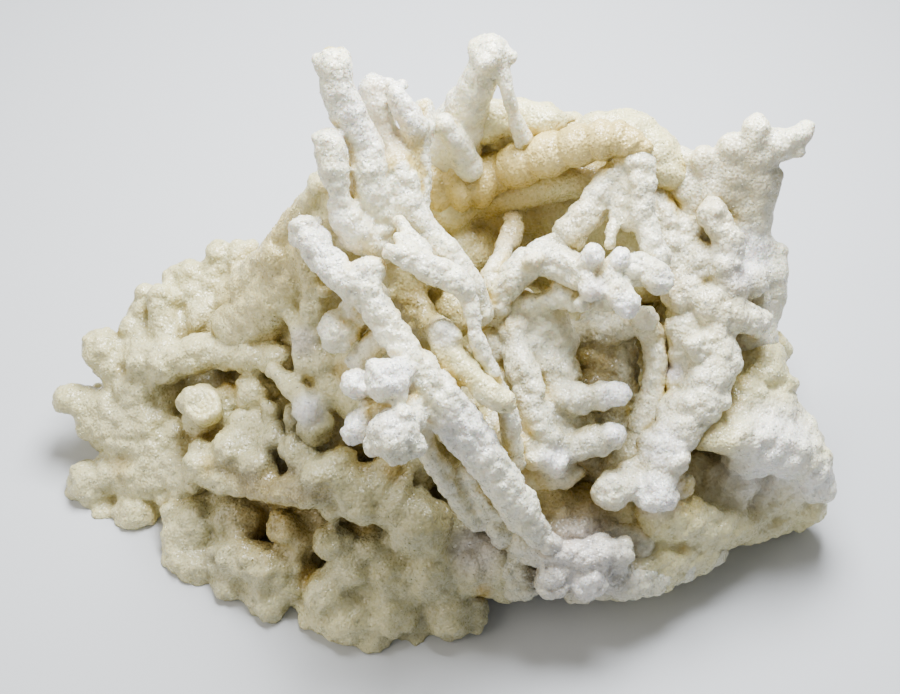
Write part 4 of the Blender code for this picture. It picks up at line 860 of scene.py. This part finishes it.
def sugared(obj, per_mm2, sizes, shown, seed):
    """Adds small crystals, half sunk in the open faces. Gives each corner's value of shown."""
    mesh = obj.data
    dice = np.random.default_rng(seed)
    corners = read(mesh.vertices, "co", 3)
    loops = read(mesh.loops, "vertex_index", 1, np.int32)
    starts = read(mesh.polygons, "loop_start", 1, np.int32)
    areas = read(mesh.polygons, "area", 1).astype(float)
    middles = read(mesh.polygons, "center", 3)
    normals = read(mesh.polygons, "normal", 3)
    face_shown = shown[loops[starts]]
    gathered = np.clip((face_shown - CRYSTAL_FROM) * CRYSTAL_GATHER, 0, 1)
    share = areas * gathered * (middles[:, 2] > CRYSTAL_CLEAR)
    count = int(share.sum() / MM**2 * per_mm2)
    chosen = dice.choice(len(areas), size=count, p=share / share.sum())
    size = dice.uniform(*sizes, size=(count, 1, 1)) * MM
    stretch = dice.uniform(*CRYSTAL_STRETCH, size=(count, 1, 3))
    blocks = np.array(CRYSTAL_CORNERS, float)[None] * stretch * size
    points = np.einsum("nij,nkj->nki", turned(count, dice), blocks)
    points += (middles[chosen] - normals[chosen] * size[:, 0] * CRYSTAL_SUNK)[:, None]
    each = len(CRYSTAL_CORNERS)
    first = len(corners) + each * np.arange(count)
    triangles = (np.array(CRYSTAL_SIDES)[None] + first[:, None, None]).reshape(-1, 3)
    obj.data = joined_mesh(obj.name, corners, loops, starts, points.reshape(-1, 3), triangles)
    bpy.data.meshes.remove(mesh)
    return np.concatenate([shown, np.repeat(face_shown[chosen], each)])


def frame_tree():
    """The frame's solids as one tree for rays."""
    points = []
    faces = []
    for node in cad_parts.values():
        first = len(points)
        points += [corner.co.copy() for corner in node.data.vertices]
        faces += [[first + index for index in face.vertices] for face in node.data.polygons]
    return BVHTree.FromPolygons(points, faces)


def openness(obj, tree, directions):
    """For each corner, 0 deep in a recess to 1 on a tip.

    Rays start at some of the corners, and the others follow their neighbours.
    """
    corners = obj.data.vertices
    places = KDTree(len(corners) // OPEN_SPACING + 1)
    values = []
    for index in range(0, len(corners), OPEN_SPACING):
        corner = corners[index]
        normal = corner.normal
        start = corner.co + normal * OPEN_START
        free = 0
        total = 0
        for direction in directions:
            slant = direction.dot(normal)
            if slant > OPEN_LEAST_SLANT:
                total += slant
                if tree.ray_cast(start, direction, OPEN_REACH)[0] is None:
                    free += slant
        places.insert(corner.co, len(values))
        values.append(free / total)
    places.balance()
    spread = np.empty(len(corners), np.float32)
    for corner in corners:
        near = places.find_n(corner.co, OPEN_NEIGHBOURS)
        weights = [1 / (distance + 1e-5) for _, _, distance in near]
        mixed = sum(weight * values[index] for weight, (_, index, _) in zip(weights, near))
        spread[corner.index] = mixed / sum(weights)
    return spread


def add_attribute(obj, name, values):
    attribute = obj.data.attributes.new(name, "FLOAT", "POINT")
    attribute.data.foreach_set("value", np.asarray(values, np.float32))


def add_spots(obj, name, spots):
    """Attribute that is a spot's strength in its middle and fades out around it."""
    view = front_view(read(obj.data.vertices, "co", 3).astype(float) / MM)
    values = np.zeros(len(view))
    for across, up, nearer, radius, strength in spots:
        flat = ((view[:, 0] - across) ** 2 + (view[:, 1] - up) ** 2) / radius**2
        deep = ((view[:, 2] - nearer) / (radius + SPOT_DEPTH)) ** 2
        values = np.maximum(values, strength * np.exp(-((flat + deep) ** 2)))
    add_attribute(obj, name, values)


class Nodes:
    """Short ways to add and join shader nodes. Sizes are in millimetres."""

    def __init__(self, name):
        self.material = bpy.data.materials.new(name)
        self.material.use_nodes = True
        self.tree = self.material.node_tree
        self.shader = self.tree.nodes["Principled BSDF"]
        self.place = self.add("TexCoord", {})["Object"]

    def plug(self, socket, value):
        if isinstance(value, bpy.types.NodeSocket):
            self.tree.links.new(value, socket)
        else:
            socket.default_value = value

    def add(self, kind, inputs, **settings):
        node = self.tree.nodes.new("ShaderNode" + kind)
        for key, value in settings.items():
            setattr(node, key, value)
        for key, value in inputs.items():
            self.plug(node.inputs[key], value)
        return node.outputs

    def ramp(self, value, low, high, first, last):
        inputs = {"Value": value, "From Min": low, "From Max": high, "To Min": first}
        return self.add("MapRange", {**inputs, "To Max": last})["Result"]

    def pattern(self, size, detail, roughness, *ranges):
        """Noise whose first range becomes the second."""
        inputs = {"Vector": self.place, "Scale": 1 / (size * MM), "Detail": detail}
        noise = self.add("TexNoise", {**inputs, "Roughness": roughness})
        return self.ramp(noise["Fac"], *ranges)

    def cells(self, size):
        return self.add("TexVoronoi", {"Vector": self.place, "Scale": 1 / (size * MM)})

    def attribute(self, name):
        return self.add("Attribute", {}, attribute_name=name)["Fac"]

    def times(self, first, second):
        return self.add("Math", {0: first, 1: second}, operation="MULTIPLY")["Value"]

    def mix(self, share, first, second, blend="MIX"):
        inputs = {0: share, 6: first, 7: second}
        return self.add("Mix", inputs, data_type="RGBA", blend_type=blend)[2]

    def bump(self, height, depth):
        return self.add("Bump", {"Distance": depth * MM, "Height": height})["Normal"]

    def vector(self, operation, *parts):
        return self.add("VectorMath", dict(enumerate(parts)), operation=operation)["Vector"]

    def facets(self, size, tilt, before):
        """Turns the normal another way in each small cell, as on a crust of crystals."""
        way = self.vector("SUBTRACT", self.cells(size)["Color"], (0.5, 0.5, 0.5))
        leaning = self.vector("MULTIPLY_ADD", way, (tilt, tilt, tilt), before)
        return self.vector("NORMALIZE", leaning)


def aragonite(name, light, deep, glow):
    """Sugary stone: pale tips, ochre stains and painted shade in recesses, spots of stains,
    painted shade and highlight.
    """
    made = Nodes(name)
    shader = made.shader
    colour = made.mix(made.times(made.pattern(*BLOTCHES), DEEP_SHARE), light, deep)
    # Ochre where openness is low: partly stains, partly painted shade in the recesses
    recess = made.ramp(made.attribute("open"), *RECESS_STAIN_AND_SHADE)
    colour = made.mix(made.times(recess, made.pattern(*UNEVEN)), colour, OCHRE_AND_RECESS_SHADE)
    # Painted shade from its spots, stronger where openness is low
    shaded = made.ramp(made.attribute("open"), *SHADED)
    colour = made.mix(made.times(made.attribute("painted_shade"), shaded), colour, PAINTED_SHADE)
    # Spots: stains with painted shade in pits, violet tint with painted shade, white crystal with
    # painted highlight
    for kind, mark in (("stain_and_pit_shade", STAIN_AND_PIT_SHADE), ("violet_tint_and_shade", VIOLET_TINT_AND_SHADE), ("frost_and_highlight", FROST_AND_HIGHLIGHT)):
        colour = made.mix(made.attribute(kind), colour, mark)
    mottle = made.pattern(*MOTTLE)
    grey = made.add("CombineColor", {"Red": mottle, "Green": mottle, "Blue": mottle})
    colour = made.mix(1.0, colour, grey["Color"], "MULTIPLY")
    made.plug(shader.inputs["Base Color"], colour)
    made.plug(shader.inputs["Roughness"], made.pattern(*SHEEN))
    shader.inputs["IOR"].default_value = STONE_IOR
    shader.inputs["Subsurface Weight"].default_value = glow
    shader.inputs["Subsurface Radius"].default_value = GLOW_COLOUR
    shader.inputs["Subsurface Scale"].default_value = GLOW_DEPTH * MM
    grains = made.bump(made.cells(GRAIN_CELLS)["Distance"], GRAIN_DEPTH)
    made.plug(shader.inputs["Normal"], made.facets(FACET_CELLS, FACET_TILT, grains))
    return made.material


def build():
    """Every main branch and mass as one crusted, coloured piece."""
    directions = [way_out(step, OPEN_RAYS) for step in range(OPEN_RAYS)]
    tree = frame_tree()
    stones = {name: aragonite(name, *look) for name, look in STONES.items()}
    ground = ground_block()
    for seed, (name, stone, grid, roughness, knobs, warts, sugar, *form) in enumerate(PARTS, 1):
        obj = crust(name, grid, roughness, knobs, warts, *form, seed, ground)
        shown = openness(obj, tree, directions)
        shown = sugared(obj, sugar, CRYSTALS[stone], shown, seed)
        add_attribute(obj, "open", shown)
        for kind, spots in SPOTS.items():
            add_spots(obj, kind, spots)
        obj.data.materials.append(stones[stone])
        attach(obj, "root")
        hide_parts(name)
    add_broken_end(stones["aragonite_cream"])
    bpy.data.objects.remove(ground)


def ring_wave(wave, angle, shift):
    count, size = wave
    return size * math.sin(count * angle + shift)


def add_broken_end(stone):
    """The flat broken end of a round finger, with its growth rings."""
    place = world_point(*RING_PLACE)
    turn = (place - world_point(*RING_ROOT)).to_track_quat("Z", "Y").to_matrix()
    dice = random.Random(RING_SEED)
    shifts = [dice.uniform(0, math.tau) for _ in range(3)]
    points = []
    for radius, height in RING_PROFILE:
        for step in range(RING_STEPS):
            angle = math.tau * step / RING_STEPS
            uneven = 1 + ring_wave(RING_OVAL, angle, shifts[0])
            uneven += ring_wave(RING_LOBES, angle, shifts[1])
            rough = ring_wave(RING_ROUGH, angle, shifts[2] + radius * RING_TWIST)
            rise = height + rough * min(radius, 1)
            reach = radius * uneven
            spot = Vector((reach * math.cos(angle), reach * math.sin(angle), rise))
            points.append((place + turn @ spot) * MM)
    faces = []
    for ring in range(len(RING_PROFILE) - 1):
        for step in range(RING_STEPS):
            after = (step + 1) % RING_STEPS
            low, high = ring * RING_STEPS, (ring + 1) * RING_STEPS
            faces.append((low + step, high + step, high + after, low + after))
    last = len(points) - RING_STEPS
    faces.append(list(range(RING_STEPS)))
    faces.append([last + step for step in reversed(range(RING_STEPS))])
    mesh = bpy.data.meshes.new("broken_end")
    mesh.from_pydata(points, [], faces)
    mesh.polygons.foreach_set("use_smooth", [True] * len(mesh.polygons))
    obj = add_object("broken_end", mesh)
    add_attribute(obj, "open", [RING_OPEN] * len(points))
    add_attribute(obj, "stain_and_pit_shade", [mark for mark in RING_STAIN for _ in range(RING_STEPS)])
    for name in ("frost_and_highlight", "violet_tint_and_shade", "painted_shade"):
        add_attribute(obj, name, [0.0] * len(points))
    mesh.materials.append(stone)
    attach(obj, "root")


def add_floor():
    """A plain pale sheet, a little under the specimen's cut."""
    half = FLOOR_SIZE * MM / 2
    corners = [(x * half, y * half, FLOOR_DROP * MM) for x, y in FLOOR_CORNERS]
    mesh = bpy.data.meshes.new("floor")
    mesh.from_pydata(corners, [], [(0, 1, 2, 3)])
    material = bpy.data.materials.new("pale_floor")
    material.use_nodes = True
    shader = material.node_tree.nodes["Principled BSDF"]
    shader.inputs["Base Color"].default_value = FLOOR_COLOUR
    shader.inputs["Roughness"].default_value = FLOOR_ROUGHNESS
    mesh.materials.append(material)
    floor = add_object("floor", mesh)


def add_light(name, place, size, power, colour):
    """A square soft light that looks at the middle of the specimen."""
    lamp = bpy.data.lights.new(name, "AREA")
    lamp.size = size * MM
    lamp.energy = power
    lamp.color = colour
    obj = add_object(name, lamp)
    obj.location = Vector(place) * MM
    aim = Vector(LIGHT_AIM) * MM - obj.location
    obj.rotation_euler = aim.to_track_quat("-Z", "Y").to_euler()
    obj.visible_camera = False


def add_camera():
    """Where the photograph was taken from: above the front edge, looking down."""
    camera = bpy.data.cameras.new("camera")
    camera.lens = CAMERA_LENS
    camera.sensor_width = CAMERA_SENSOR
    camera.clip_start, camera.clip_end = CAMERA_CLIP
    obj = add_object("camera", camera)
    obj.location = world_point(0, 0, VIEW_DISTANCE) * MM
    obj.rotation_euler = (math.pi / 2 - VIEW_ANGLE, 0, 0)
    bpy.context.scene.camera = obj


def add_sky():
    world = bpy.data.worlds.new("studio")
    world.use_nodes = True
    back = world.node_tree.nodes["Background"]
    back.inputs["Color"].default_value = SKY_COLOUR
    back.inputs["Strength"].default_value = SKY_STRENGTH
    bpy.context.scene.world = world


build()
add_floor()
for light, look in LIGHTS.items():
    add_light(light, *look)
add_camera()
add_sky()
